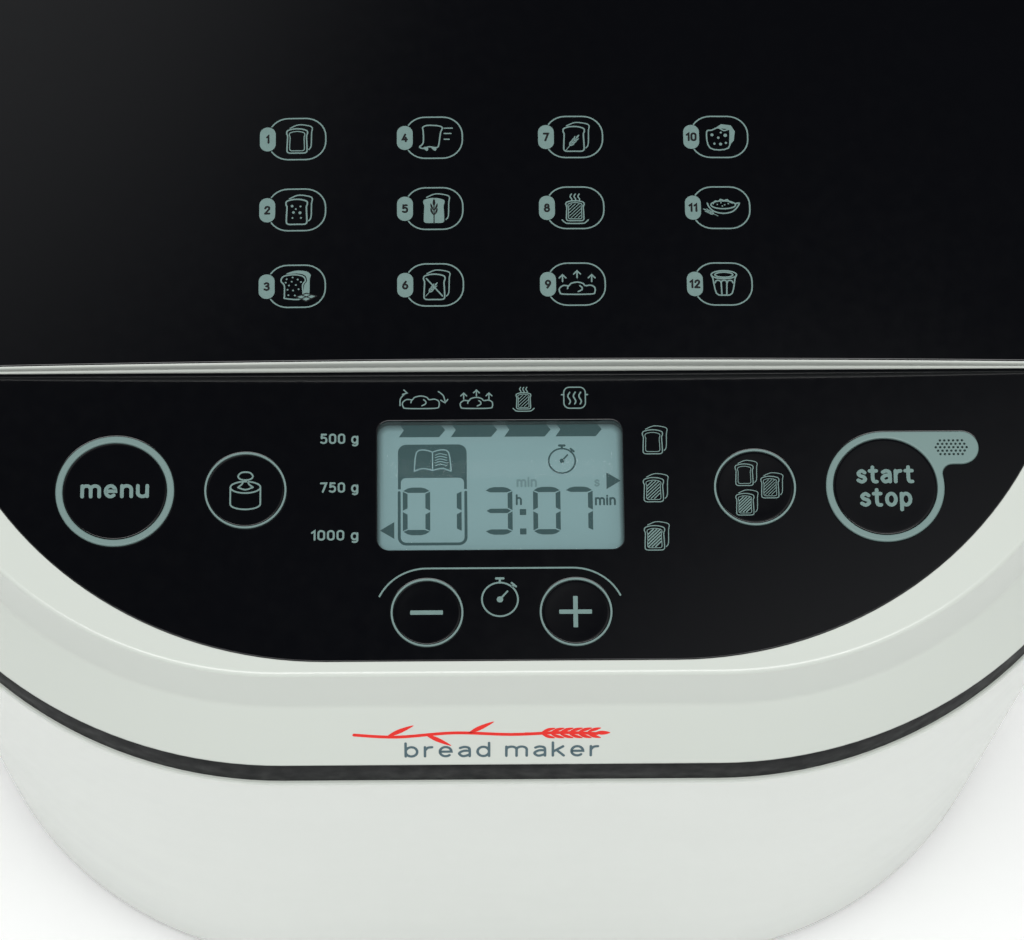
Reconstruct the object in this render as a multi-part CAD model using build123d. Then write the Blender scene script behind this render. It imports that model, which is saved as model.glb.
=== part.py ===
"""Bread machine: housing, control panel, hinged lid, baking chamber, pan and belt drive.

Millimetres, +Z up, front towards -Y. The origin is on the table under the middle of the body.
"""
from build123d import *
import math
import os

# ---- Overall sizes ---------------------------------------------------------------------
body_width = 282.0          # across the black seam band, the widest place
body_depth = 310.0          # front to back across the seam band
deck_height = 288.0         # table to the flat top deck, which the control panel is flush with
front_lean = 37.5           # how far the front wall slopes in from the seam to the base
side_lean = 6.4             # how far each side wall slopes in
back_lean = 4.0             # how far the back wall slopes in

# ---- Housing shells --------------------------------------------------------------------
wall = 2.5                  # moulded shell thickness
front_corner = 95.0         # corner radius of the seam band at the front
back_corner = 75.0          # corner radius of the seam band at the back
foot_height = 5.0
foot_radius = 9.0
base_thickness = 3.0
base_flange = 9.0           # inner flange of the lower body that the base plate screws to
band_top_drop = 26.0        # deck to the top edge of the seam band
band_height = 11.7
band_recess = 0.8           # the black band lies behind the two shells it parts
shoulder_run = 8.65         # outward run of the flared shoulder
shoulder_drop = 13.2        # its height
step_run = 2.0              # outward run of the step between rim and shoulder
rim_edge = 0.6              # bevel at the rim's outer edge
deck_thickness = 5.0
panel_side_inset = 18.6     # seam band to the control panel's edge at the sides
panel_front_inset = 13.85   # and at the front
panel_corner = 84.8
panel_ledge = 2.0           # ledge of the deck that carries the panel
fit_gap = 0.1               # gap round pieces fixed in a recess

# ---- Control panel ---------------------------------------------------------------------
panel_thickness = 2.4
open_depth = 65.0           # panel in front of the lid
lid_front = -body_depth / 2 + panel_front_inset + open_depth
panel_under_lid = 6.0
button_row = lid_front - 26.6     # the row of four large buttons and the display
lower_row = button_row - 27.75    # the minus and plus buttons
menu_x = body_width / 2 - 60.1
option_x = menu_x - 27.4
step_x = 15.5
main_button_radius = 10.96
option_button_radius = 8.7
step_button_radius = 7.65
main_ring_width = 1.5
thin_ring_width = 0.5
ring_depth = 0.8            # depth of the groove that a ring lies in
ring_proud = 0.35           # how far a ring stands above the panel
button_gap = 0.25           # round a button cap in its hole
button_proud = 0.2
button_flange = 1.2         # flange under the panel that keeps a cap in
button_flange_height = 1.0
button_travel = 0.8
speaker_reach = 20.0        # from the start button's centre to the end of its speaker tab
speaker_tab_height = 7.4
speaker_tab_rise = 8.4      # centre of the tab above the button row
display_width = 51.7
display_depth = 29.3
display_shift = 1.0         # display centre behind the button row
display_corner = 2.5
lens_thickness = 1.0
lens_recess = 0.3
board_thickness = 1.6
board_drop = 6.6            # panel underside to the board's top face
board_inset = 12.0
standoff_radius = 3.0
switch_size = 6.0
switch_gap = 0.1            # left over when a button is fully pressed
buzzer_radius = 5.5
buzzer_height = 3.2

# ---- Lid -------------------------------------------------------------------------------
lid_back = body_depth / 2 - 21.0
lid_back_corner = 62.0
lid_gap = 0.4               # lid frame above the deck
lid_edge_height = 5.7       # deck to the lid's top in the middle of its front edge
lid_crown_drop = 2.0        # fall of the lid's top from the middle to crown_span
crown_span = 105.0
plate_thickness = 1.2
plate_inset = 1.2           # white lip of the frame round the black plate
plate_proud = 0.3
window_corner = 10.0
window_ledge = 4.0
liner_depth = 14.4          # how far the lid's inner tray reaches down from the frame
liner_clearance = 4.0       # tray to the chamber opening
sheet = 1.0                 # sheet metal of the chamber and the lid's tray
glass_thickness = 3.0
seal_width = 2.4
seal_height = 3.4
hinge_x = 42.0
hinge_y = lid_back + 4.5
hinge_rise = 3.2            # hinge axis above the deck
hinge_radius = 2.9
hinge_pin_radius = 1.5
knuckle_width = 24.0
lug_width = 7.0
hinge_side_gap = 0.4
running_gap = 0.05          # radial clearance of a pin or shaft that turns

# ---- Baking chamber and pan ------------------------------------------------------------
chamber_width = 190.0
chamber_depth = 165.0
chamber_y = lid_back - 4.5 - chamber_depth / 2
chamber_corner = 22.0
chamber_floor = 85.0        # height of the chamber floor's top face
chamber_flange = 8.0
pan_width = chamber_width - 50.0
pan_depth = chamber_depth - 40.0
pan_height = deck_height - 160.0
pan_taper = 5.0             # each side leans in this much from rim to floor
pan_corner = 20.0
pan_wall = 2.0
pan_rim = 4.0
pan_lift = 19.0             # chamber floor to the underside of the pan
seat_radius = 42.0
seat_wall = 4.0
seat_height = 7.0
pan_seat_gap = 0.3          # pan base to the seat and to the floor
pan_skirt_wall = 3.5
ear_thickness = 2.0
ear_width = 12.0
bail_rise = 4.0             # bail axis above the pan's rim
bail_wire = 2.0             # radius of the wire
bail_reach = pan_depth / 2 + 6.5
bail_side_gap = 0.5
element_radius = 3.2
element_side_gap = 9.8      # element's middle line to the chamber's side walls
element_end_gap = 12.5      # and to its front and back walls
element_rise = 15.0         # element's middle line above the floor
terminal_x = 14.0
terminal_reach = 9.0       # how far the element's ends stand out of the chamber
sensor_radius = 4.0
sensor_x = 50.0
sensor_height = 150.0

# ---- Drive -----------------------------------------------------------------------------
chassis_height = 58.0
chassis_thickness = 2.0
chassis_inset = 6.0
post_radius = 5.0
shaft_radius = 4.0
pulley_bottom = 34.0
pulley_width = 12.0
large_pulley_radius = 42.0
small_pulley_radius = 7.5
pulley_rim = 2.0            # how far a pulley's flange stands out past the belt's inner face
belt_thickness = 1.5
belt_gap = 0.3
bearing_radius = 14.0
bearing_flange = 26.0
bearing_flange_height = 4.0
bearing_top_gap = 2.0       # bearing housing to the coupling above it
coupling_radius = 12.0
coupling_hub = 5.0
coupling_peg_radius = 2.5
coupling_peg_circle = 8.0
coupling_peg_height = 6.0
coupling_gap = 0.3
paddle_hub_radius = 7.5
paddle_hub_height = 21.0
paddle_reach = min(pan_width, pan_depth) / 2 - 14.5
paddle_blade = 2.6
paddle_floor_gap = 3.0
motor_x = 30.0
motor_y = chamber_y - chamber_depth / 2 - 47.5
motor_radius = 36.0
motor_height = 78.0
motor_boss = 10.0
fan_radius = 32.0
fan_height = 10.0
fan_blades = 9
fan_gap = 4.0

window_width = chamber_width - 78.0
window_depth = chamber_depth - 89.0
window_y = chamber_y + 15.0

# ---- Heights that follow ---------------------------------------------------------------
band_top = deck_height - band_top_drop
band_bottom = band_top - band_height
crease_height = band_top + shoulder_drop
deck_under = deck_height - deck_thickness
panel_under = deck_height - panel_thickness
board_top = panel_under - board_drop
lid_under = deck_height + lid_gap
lid_top = deck_height + lid_edge_height
plate_under = lid_top - plate_thickness
liner_floor = lid_under - liner_depth
hinge_z = deck_height + hinge_rise
pan_floor = chamber_floor + pan_lift
pan_top = pan_floor + pan_height
bail_z = pan_top + bail_rise
coupling_bottom = chamber_floor + sheet + 4.0
peg_top = coupling_bottom + coupling_hub + coupling_peg_height
bar_bottom = coupling_bottom + coupling_hub + coupling_gap + 0.7
motor_bottom = chassis_height + chassis_thickness
belt_distance = math.hypot(motor_x, motor_y - chamber_y)


# ---- Shape helpers ---------------------------------------------------------------------
class Outline:
    """A rounded rectangle, symmetric left and right, with its own front and back corners."""

    def __init__(self, half_width, front, back, front_radius, back_radius):
        self.half_width = half_width
        self.front = front
        self.back = back
        self.front_radius = front_radius
        self.back_radius = back_radius

    def inset(self, by):
        return Outline(self.half_width - by, self.front + by, self.back - by,
                       self.front_radius - by, self.back_radius - by)

    def toward(self, other, share):
        """The outline a given share of the way to another one."""
        mine, theirs = vars(self), vars(other)
        return Outline(*[mine[key] + share * (theirs[key] - mine[key]) for key in mine])

    def face(self, z):
        w, f, b = self.half_width, self.front, self.back
        rf, rb = self.front_radius, self.back_radius
        edges = [
            Line((rf - w, f), (w - rf, f)),
            CenterArc((w - rf, f + rf), rf, -90, 90),
            Line((w, f + rf), (w, b - rb)),
            CenterArc((w - rb, b - rb), rb, 0, 90),
            Line((w - rb, b), (rb - w, b)),
            CenterArc((rb - w, b - rb), rb, 90, 90),
            Line((-w, b - rb), (-w, f + rf)),
            CenterArc((rf - w, f + rf), rf, 180, 90),
        ]
        return Pos(0, 0, z) * Face(Wire(edges))


def prism(outline, bottom, top):
    return extrude(outline.face(bottom), amount=top - bottom, dir=(0, 0, 1))


def stack(*levels):
    """A solid through outlines given as (outline, height) pairs, with straight walls."""
    return loft([outline.face(z) for outline, z in levels], ruled=True)


def block(x0, x1, y0, y1, z0, z1):
    corner = (Align.MIN, Align.MIN, Align.MIN)
    return Pos(x0, y0, z0) * Box(x1 - x0, y1 - y0, z1 - z0, align=corner)


def rod(x, y, bottom, top, radius):
    foot = (Align.CENTER, Align.CENTER, Align.MIN)
    return Pos(x, y, bottom) * Cylinder(radius, top - bottom, align=foot)


def tube(x, y, bottom, top, outer, inner):
    return rod(x, y, bottom, top, outer) - rod(x, y, bottom - 1, top + 1, inner)


def slab(width, depth, corner, y, bottom, top, x=0.0):
    """An upright block with rounded corners, centred on (x, y)."""
    flat = Pos(x, y, bottom) * RectangleRounded(width, depth, corner)
    return extrude(flat, amount=top - bottom, dir=(0, 0, 1))


def bar_x(x0, x1, y, z, radius):
    """A round bar along X."""
    return Pos((x0 + x1) / 2, y, z) * Rot(0, 90, 0) * Cylinder(radius, x1 - x0)


def bar_y(x, y0, y1, z, radius):
    """A round bar along Y."""
    return Pos(x, (y0 + y1) / 2, z) * Rot(90, 0, 0) * Cylinder(radius, y1 - y0)


def group(pieces):
    return Compound(children=[solid for piece in pieces for solid in piece.solids()])


def mirrored(points):
    """Each point and its twin on the other side of the middle plane."""
    return [(side * x, y) for x, y in points for side in (-1, 1)]


# ---- Outlines that several pieces share ------------------------------------------------
seam = Outline(body_width / 2, -body_depth / 2, body_depth / 2, front_corner, back_corner)
base = Outline(seam.half_width - side_lean, seam.front + front_lean, seam.back - back_lean,
               front_corner - side_lean, back_corner - side_lean)
crease = seam.inset(shoulder_run)
rim = crease.inset(step_run)
panel = Outline(seam.half_width - panel_side_inset, seam.front + panel_front_inset,
                seam.back - panel_front_inset, panel_corner, lid_back_corner)
lid = Outline(panel.half_width, panel.front, lid_back, panel_corner, lid_back_corner)


def shell_outline(z):
    """The lower body's outer outline at a height."""
    share = (z - foot_height) / (band_bottom - foot_height)
    return base.toward(seam, share)


def front_part(solid, line):
    """What lies in front of a line across the body."""
    return solid & block(-body_width, body_width, -body_depth, line, 0, 2 * deck_height)


def back_part(solid, line):
    return solid & block(-body_width, body_width, line, body_depth, 0, 2 * deck_height)


# ---- Housing ---------------------------------------------------------------------------
post_places = mirrored([(base.half_width - 42.6, base.back - 55.0), (base.half_width - 28.6, 0),
                        (base.half_width - 56.6, base.front + 39.5)])
foot_places = mirrored([(base.half_width - 46.6, base.back - 39.0),
                        (base.half_width - 60.6, base.front + 41.5)])
flange_screw_places = mirrored([(60, shell_outline(foot_height).back - wall - base_flange / 2),
                                (30, shell_outline(foot_height).front + wall + base_flange / 2)])
vent_count = 9
vent_pitch = 9.0
vent_width = 4.0
vent_length = 46.0
gland_x = 52.0
gland_z = 34.0
gland_radius = 6.0
gland_head = 8.5


def back_wall(z):
    return shell_outline(z).back


def lower_body():
    inside = foot_height + base_thickness
    shell = stack((base, foot_height), (seam, band_bottom))
    hollow = stack((shell_outline(inside + 2.5).inset(wall), inside + 2.5),
                   (seam.inset(wall), band_bottom))
    floor_hole = prism(base.inset(wall + base_flange), foot_height, inside + 3)
    plate_recess = prism(base.inset(wall), foot_height, inside)
    shell -= hollow + floor_hole + plate_recess
    for i in range(vent_count):
        x = (i - (vent_count - 1) / 2) * vent_pitch
        shell -= block(x - vent_width / 2, x + vent_width / 2, back_wall(0) - 12, seam.back + 5,
                       70, 70 + vent_length)
    shell -= bar_y(gland_x, back_wall(gland_z) - 10, seam.back + 5, gland_z, gland_radius + fit_gap)
    for x, y in flange_screw_places:
        shell -= rod(x, y, foot_height, inside + 3, 1.3)
    return shell


def base_plate():
    plate = prism(base.inset(wall + fit_gap), foot_height, foot_height + base_thickness)
    for x, y in post_places:
        plate += rod(x, y, foot_height + 1, chassis_height, post_radius)
        plate -= rod(x, y, chassis_height - 12, chassis_height, 1.5)
    for x, y in flange_screw_places:
        plate -= rod(x, y, 0, foot_height + base_thickness + 1, 1.8)
    for row in range(2):
        for i in range(vent_count):
            x = (i - (vent_count - 1) / 2) * vent_pitch
            y = -60 + 110 * row
            plate -= block(x - 2, x + 2, y - 14, y + 14, 0, foot_height + base_thickness + 1)
    return plate


def base_screws():
    grip = foot_height + base_thickness
    screws = []
    for x, y in flange_screw_places:
        screws.append(rod(x, y, foot_height - 1.8, foot_height, 3.2)
                      + rod(x, y, foot_height - 1, grip + 2, 1.25))
    return group(screws)


def feet():
    pads = []
    for x, y in foot_places:
        foot = rod(x, y, 0, foot_height, foot_radius)
        pads.append(chamfer(foot.edges().group_by(Axis.Z)[0], 1.0))
    return group(pads)


def seam_band():
    outer = seam.inset(band_recess)
    ring = prism(outer, band_bottom, band_top)
    return ring - prism(seam.inset(wall + 1.5), band_bottom - 1, band_top + 1)


def upper_housing():
    outside = stack((seam, band_top), (crease, crease_height), (rim, deck_height - rim_edge),
                    (rim.inset(rim_edge), deck_height))
    inside = stack((seam.inset(wall), band_top), (crease.inset(wall), crease_height - 1.5),
                   (rim.inset(wall), deck_under))
    shell = outside - inside
    recess = prism(panel, panel_under, deck_height + 1)
    shell -= front_part(recess, lid_front + panel_under_lid)
    opening = prism(panel.inset(panel_ledge), deck_under - 1, deck_height)
    shell -= front_part(opening, lid_front + panel_under_lid - panel_ledge)
    shell -= slab(chamber_width, chamber_depth, chamber_corner, chamber_y, deck_under - 1,
                  deck_height + 1)
    return shell


def cord_gland():
    wall_y = back_wall(gland_z)
    head = bar_y(gland_x, wall_y + 0.2, wall_y + 3.2, gland_z, gland_head)
    neck = bar_y(gland_x, wall_y - wall - 1.0, wall_y + 1, gland_z, gland_radius)
    tail = bar_y(gland_x, wall_y - wall - 4.0, wall_y - wall - 0.2, gland_z, gland_head - 1)
    return head + neck + tail - bar_y(gland_x, wall_y - 12, wall_y + 8, gland_z, 3.4)


# ---- Control panel ---------------------------------------------------------------------
class Button:
    """A round push button: where its middle is, its hole, and the width of its ring."""

    def __init__(self, x, y, radius, ring_width):
        self.x = x
        self.y = y
        self.radius = radius
        self.ring_width = ring_width


small_hole = thin_ring_width
buttons = {
    "menu_button": Button(-menu_x, button_row, main_button_radius, main_ring_width),
    "start_button": Button(menu_x, button_row, main_button_radius, main_ring_width),
    "weight_button": Button(-option_x, button_row, option_button_radius - small_hole, small_hole),
    "colour_button": Button(option_x, button_row, option_button_radius - small_hole, small_hole),
    "minus_button": Button(-step_x, lower_row, step_button_radius - small_hole, small_hole),
    "plus_button": Button(step_x, lower_row, step_button_radius - small_hole, small_hole),
}
standoff_places = mirrored([(menu_x + 20.1, button_row + 18.5), (38, button_row - 25), (36, button_row + 19)])
display_y = button_row + display_shift
ring_floor = deck_height - ring_depth
ring_top = deck_height + ring_proud
cap_top = deck_height + button_proud
cap_bottom = panel_under - 0.4 - button_flange_height
speaker_y = button_row + speaker_tab_rise
speaker_x = menu_x + speaker_reach - speaker_tab_height / 2 - 1.5


def speaker_tab(bottom, top):
    """The rounded tab that grows out of the start button's ring and holds the speaker holes."""
    start = menu_x
    end = menu_x + speaker_reach
    return slab(end - start, speaker_tab_height, speaker_tab_height / 2 - 0.1, speaker_y,
                bottom, top, x=(start + end) / 2)


def start_trim(outer_radius, bottom, top):
    button = buttons["start_button"]
    disc = rod(button.x, button.y, bottom, top, outer_radius)
    return disc + speaker_tab(bottom, top)


def control_panel():
    plate = front_part(prism(panel.inset(fit_gap), panel_under, deck_height),
                       lid_front + panel_under_lid - fit_gap)
    for button in buttons.values():
        outer = button.radius + button.ring_width + 0.02
        plate -= rod(button.x, button.y, panel_under - 1, deck_height + 1, button.radius)
        plate -= rod(button.x, button.y, ring_floor, deck_height + 1, outer)
    plate -= start_trim(main_button_radius, ring_floor, deck_height + 1)
    plate -= slab(display_width, display_depth, display_corner, display_y, panel_under - 1,
                  deck_height + 1)
    for x, y in standoff_places:
        plate += rod(x, y, board_top, panel_under + 0.5, standoff_radius)
    return plate


def ring(button):
    return tube(button.x, button.y, ring_floor, ring_top, button.radius + button.ring_width,
                button.radius)


def menu_ring():
    return ring(buttons["menu_button"])


def start_ring():
    button = buttons["start_button"]
    outer = button.radius + button.ring_width
    trim = start_trim(outer, ring_floor, ring_top)
    return trim - rod(button.x, button.y, ring_floor - 1, ring_top + 1, button.radius)


def thin_rings():
    names = ("weight_button", "colour_button", "minus_button", "plus_button")
    return group([ring(buttons[name]) for name in names])


def button_cap(button):
    cap = rod(button.x, button.y, cap_bottom, cap_top, button.radius - button_gap)
    cap = chamfer(cap.edges().group_by(Axis.Z)[-1], 0.3)
    return cap + rod(button.x, button.y, cap_bottom, cap_bottom + button_flange_height,
                     button.radius + button_flange)


def display_lens():
    top = deck_height - lens_recess
    return slab(display_width - 2 * fit_gap, display_depth - 2 * fit_gap, display_corner,
                display_y, top - lens_thickness, top)


def display_module():
    return slab(display_width + 5, display_depth + 4, 1.0, display_y, board_top, panel_under - 0.1)


def control_board():
    board = prism(panel.inset(board_inset), board_top - board_thickness, board_top)
    return front_part(board, lid_front - 4)


def tact_switches():
    top = cap_bottom - button_travel - switch_gap
    switches = []
    for button in buttons.values():
        case = slab(switch_size, switch_size, 0.4, button.y, board_top, top - 1, x=button.x)
        switches.append(case + rod(button.x, button.y, board_top + 0.5, top, 1.7))
    return group(switches)


def buzzer():
    can = rod(speaker_x, speaker_y, board_top, board_top + buzzer_height, buzzer_radius)
    return can - rod(speaker_x, speaker_y, board_top + 1.5, board_top + buzzer_height + 1, 1.2)


# ---- Lid -------------------------------------------------------------------------------
crown_radius = (crown_span ** 2 + lid_crown_drop ** 2) / (2 * lid_crown_drop)


def under_crown(top):
    """Everything below the lid's crown when its middle line is at the height top."""
    centre = top - crown_radius
    reach = math.asin(body_width / 2 / crown_radius)
    side = (crown_radius * math.sin(reach), centre + crown_radius * math.cos(reach))
    arch = Face(Wire([
        ThreePointArc((-side[0], side[1]), (0, top), (side[0], side[1])),
        Line(side, (side[0], 0)),
        Line((side[0], 0), (-side[0], 0)),
        Line((-side[0], 0), (-side[0], side[1])),
    ]))
    return extrude(Pos(0, body_depth, 0) * Rot(90, 0, 0) * arch, amount=2 * body_depth,
                   dir=(0, -1, 0))


def lid_layer(outline, front_line, bottom_crown, top_crown):
    """A slice of the lid between two crowned surfaces."""
    blank = back_part(prism(outline, lid_under, lid_top + 1), front_line)
    return (blank & under_crown(top_crown)) - under_crown(bottom_crown)


def lid_frame():
    frame = back_part(prism(lid, lid_under, lid_top + 1), lid_front)
    frame &= under_crown(lid_top - plate_proud)
    frame -= lid_layer(lid.inset(plate_inset), lid_front + plate_inset, plate_under, lid_top + 1)
    frame -= slab(window_width - 2 * window_ledge, window_depth - 2 * window_ledge,
                  window_corner - 2, window_y, 0, 2 * deck_height)
    for side in (-1, 1):
        x = side * hinge_x
        half = knuckle_width / 2
        frame += block(x - half, x + half, lid_back - 1, hinge_y, lid_under, hinge_z)
        frame += bar_x(x - half, x + half, hinge_y, hinge_z, hinge_radius - 0.1)
        frame -= bar_x(x - half - 1, x + half + 1, hinge_y, hinge_z, hinge_pin_radius + running_gap)
    for x, y in lid_screw_places:
        frame -= rod(x, y, lid_under - 1, lid_under + 1.0, 1.3)
    return frame


def lid_plate():
    plate = lid_layer(lid.inset(plate_inset + fit_gap), lid_front + plate_inset + fit_gap,
                      plate_under, lid_top)
    return plate - slab(window_width, window_depth, window_corner, window_y, 0, 2 * deck_height)


def lid_window():
    pane = slab(window_width - 2 * fit_gap, window_depth - 2 * fit_gap, window_corner, window_y,
                plate_under - 10, lid_top + 1)
    return (pane & under_crown(lid_top)) - under_crown(plate_under)


liner_width = chamber_width - 2 * liner_clearance
liner_length = chamber_depth - 2 * liner_clearance
liner_corner = chamber_corner - liner_clearance
lid_screw_places = mirrored([(chamber_width / 2 - 13, chamber_y - chamber_depth / 2 + 14.5),
                             (chamber_width / 2 - 13, chamber_y + chamber_depth / 2 - 14.5)])


def lid_liner():
    tray = slab(liner_width, liner_length, liner_corner, chamber_y, liner_floor, lid_under)
    tray -= slab(liner_width - 2 * sheet, liner_length - 2 * sheet, liner_corner - sheet, chamber_y,
                 liner_floor + sheet, lid_under + 1)
    tray -= slab(window_width - 3 * window_ledge, window_depth - 3 * window_ledge,
                 window_corner - 3, window_y, liner_floor - 1, liner_floor + sheet + 1)
    for i in range(7):
        x = (i - 3) * 14.0
        tray -= slab(4.0, 22.0, 1.9, chamber_y - 56, liner_floor - 1, liner_floor + sheet + 1, x=x)
    for x, y in lid_screw_places:
        tray += rod(x, y, liner_floor + sheet / 2, lid_under, 3.2)
        tray -= rod(x, y, liner_floor - 1, lid_under + 1, 1.3)
    return tray


def lid_glass():
    floor = liner_floor + sheet
    return slab(window_width - window_ledge, window_depth - window_ledge, window_corner - 1,
                window_y, floor, floor + glass_thickness)


def lid_seal():
    outer = slab(liner_width + 2 * seal_width, liner_length + 2 * seal_width,
                 liner_corner + seal_width, chamber_y, lid_under - seal_height, lid_under)
    return outer - slab(liner_width + 0.1, liner_length + 0.1, liner_corner, chamber_y,
                        lid_under - seal_height - 1, lid_under + 1)


def lid_screws():
    screws = []
    for x, y in lid_screw_places:
        screws.append(rod(x, y, liner_floor - 1.6, liner_floor, 2.8)
                      + rod(x, y, liner_floor - 1, lid_under + 0.9, 1.2))
    return group(screws)


def hinge_brackets():
    lugs = []
    for side in (-1, 1):
        for end in (-1, 1):
            near = side * hinge_x + end * (knuckle_width / 2 + hinge_side_gap)
            x0, x1 = sorted((near, near + end * lug_width))
            lug = bar_x(x0, x1, hinge_y, hinge_z, hinge_radius)
            lug += block(x0, x1, hinge_y - hinge_radius, hinge_y + hinge_radius, deck_height, hinge_z)
            lugs.append(lug - bar_x(x0 - 1, x1 + 1, hinge_y, hinge_z, hinge_pin_radius + 0.01))
    return group(lugs)


def hinge_pins():
    reach = knuckle_width / 2 + hinge_side_gap + lug_width
    return group([bar_x(side * hinge_x - reach, side * hinge_x + reach, hinge_y, hinge_z,
                        hinge_pin_radius) for side in (-1, 1)])


# ---- Baking chamber --------------------------------------------------------------------
chamber_front = chamber_y - chamber_depth / 2
terminal_hole = element_radius + 0.4


def chamber_liner():
    box = slab(chamber_width + 2 * sheet, chamber_depth + 2 * sheet, chamber_corner + sheet,
               chamber_y, chamber_floor - sheet, deck_under)
    box += slab(chamber_width + 2 * chamber_flange, chamber_depth + 2 * chamber_flange,
                chamber_corner + chamber_flange, chamber_y, deck_under - sheet, deck_under)
    box -= slab(chamber_width, chamber_depth, chamber_corner, chamber_y, chamber_floor,
                deck_under + 1)
    box -= rod(0, chamber_y, chamber_floor - 5, chamber_floor + 5, bearing_radius + 0.5)
    for side in (-1, 1):
        box -= bar_y(side * terminal_x, chamber_front - 5, chamber_front + 5,
                     chamber_floor + element_rise, terminal_hole)
    box -= bar_y(-sensor_x, chamber_front - 5, chamber_front + 5, sensor_height,
                 sensor_radius + 0.05)
    return box


def heating_element():
    left = chamber_width / 2 - element_side_gap
    front = chamber_front + element_end_gap
    back = chamber_front + chamber_depth - element_end_gap
    out = chamber_front - terminal_reach
    z = chamber_floor + element_rise
    route = [(-terminal_x, out, z), (-terminal_x, front, z), (-left, front, z), (-left, back, z),
             (left, back, z), (left, front, z), (terminal_x, front, z), (terminal_x, out, z)]
    path = FilletPolyline(*route, radius=[8, 25, 25, 25, 25, 8])
    section = Plane(origin=path @ 0, z_dir=path % 0) * Circle(element_radius)
    return sweep(section, path=path)


def element_holders():
    left = chamber_width / 2 - element_side_gap
    back = chamber_front + chamber_depth - element_end_gap
    top = chamber_floor + element_rise - element_radius - 0.1
    places = mirrored([(left, chamber_y), (40.0, back)])
    return group([block(x - 4, x + 4, y - 4, y + 4, chamber_floor, top) for x, y in places])


def temperature_sensor():
    probe = bar_y(-sensor_x, chamber_front - 10, chamber_front + 9, sensor_height, sensor_radius)
    nut_end = chamber_front - sheet - 0.1
    return probe + bar_y(-sensor_x, nut_end - 3, nut_end, sensor_height, sensor_radius + 2.5)


def thermal_fuse():
    back = chamber_front - sheet
    body = block(sensor_x - 12, sensor_x + 12, back - 5, back, sensor_height - 4, sensor_height + 4)
    return body + block(sensor_x - 20, sensor_x + 20, back - 1.5, back, sensor_height - 3,
                        sensor_height + 3)


def pan_seat():
    ring = tube(0, chamber_y, chamber_floor, chamber_floor + seat_height,
                seat_radius + seat_wall, seat_radius)
    return ring + tube(0, chamber_y, chamber_floor, chamber_floor + 1.5, seat_radius + 9,
                       seat_radius)


# ---- Bread pan -------------------------------------------------------------------------
def pan_outline(half_width, half_depth, corner):
    return Outline(half_width, chamber_y - half_depth, chamber_y + half_depth, corner, corner)


pan_mouth = pan_outline(pan_width / 2, pan_depth / 2, pan_corner)
pan_foot = pan_mouth.inset(pan_taper)
bush_radius = 9.0
ear_x = pan_width / 2 + pan_rim - ear_thickness
bail_x = pan_width / 2 + pan_rim + bail_side_gap + bail_wire


def bread_pan():
    body = stack((pan_foot, pan_floor), (pan_mouth, pan_top))
    body += prism(pan_mouth.inset(-pan_rim), pan_top - pan_wall, pan_top)
    body -= stack((pan_foot.inset(pan_wall), pan_floor + pan_wall),
                  (pan_mouth.inset(pan_wall), pan_top + 0.01))
    for side in (-1, 1):
        x0, x1 = sorted((side * ear_x, side * (ear_x + ear_thickness)))
        ear = block(x0, x1, chamber_y - ear_width / 2, chamber_y + ear_width / 2, pan_top - 1,
                    bail_z + ear_width / 4)
        ear += bar_x(x0, x1, chamber_y, bail_z, ear_width / 2 - 0.5)
        body += ear - bar_x(x0 - 1, x1 + 1, chamber_y, bail_z, bail_wire + running_gap)
    return body - rod(0, chamber_y, pan_floor - 1, pan_floor + pan_wall + 1, bush_radius + 0.02)


def pan_base():
    skirt_top = pan_floor
    skirt_bottom = chamber_floor + pan_seat_gap
    outer = seat_radius - pan_seat_gap
    skirt = tube(0, chamber_y, skirt_bottom, skirt_top, outer, outer - pan_skirt_wall)
    web = tube(0, chamber_y, skirt_top - 3, skirt_top, outer, bush_radius + 0.02)
    return skirt + web


def pan_bush():
    return tube(0, chamber_y, pan_floor - 3, pan_floor + pan_wall + 2, bush_radius,
                shaft_radius + running_gap)


def pan_handle():
    front = chamber_y - bail_reach
    inner = ear_x - 1.5
    route = [(-inner, chamber_y, bail_z), (-bail_x, chamber_y, bail_z), (-bail_x, front, bail_z),
             (bail_x, front, bail_z), (bail_x, chamber_y, bail_z), (inner, chamber_y, bail_z)]
    path = FilletPolyline(*route, radius=[2.2, 14, 14, 2.2])
    section = Plane(origin=path @ 0, z_dir=path % 0) * Circle(bail_wire)
    return sweep(section, path=path)


def handle_grip():
    front = chamber_y - bail_reach
    grip = bar_x(-26, 26, front, bail_z, bail_wire + 2.0)
    return grip - bar_x(-27, 27, front, bail_z, bail_wire + 0.02)


def pan_shaft():
    return rod(0, chamber_y, bar_bottom, pan_floor + pan_wall + paddle_floor_gap
               + paddle_hub_height - 4, shaft_radius)


def pan_coupling():
    half = coupling_peg_circle - coupling_peg_radius - coupling_gap
    bar = block(-half, half, chamber_y - coupling_radius + 1, chamber_y + coupling_radius - 1,
                bar_bottom, bar_bottom + 4)
    return bar - rod(0, chamber_y, bar_bottom - 1, bar_bottom + 5, shaft_radius + 0.02)


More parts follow.
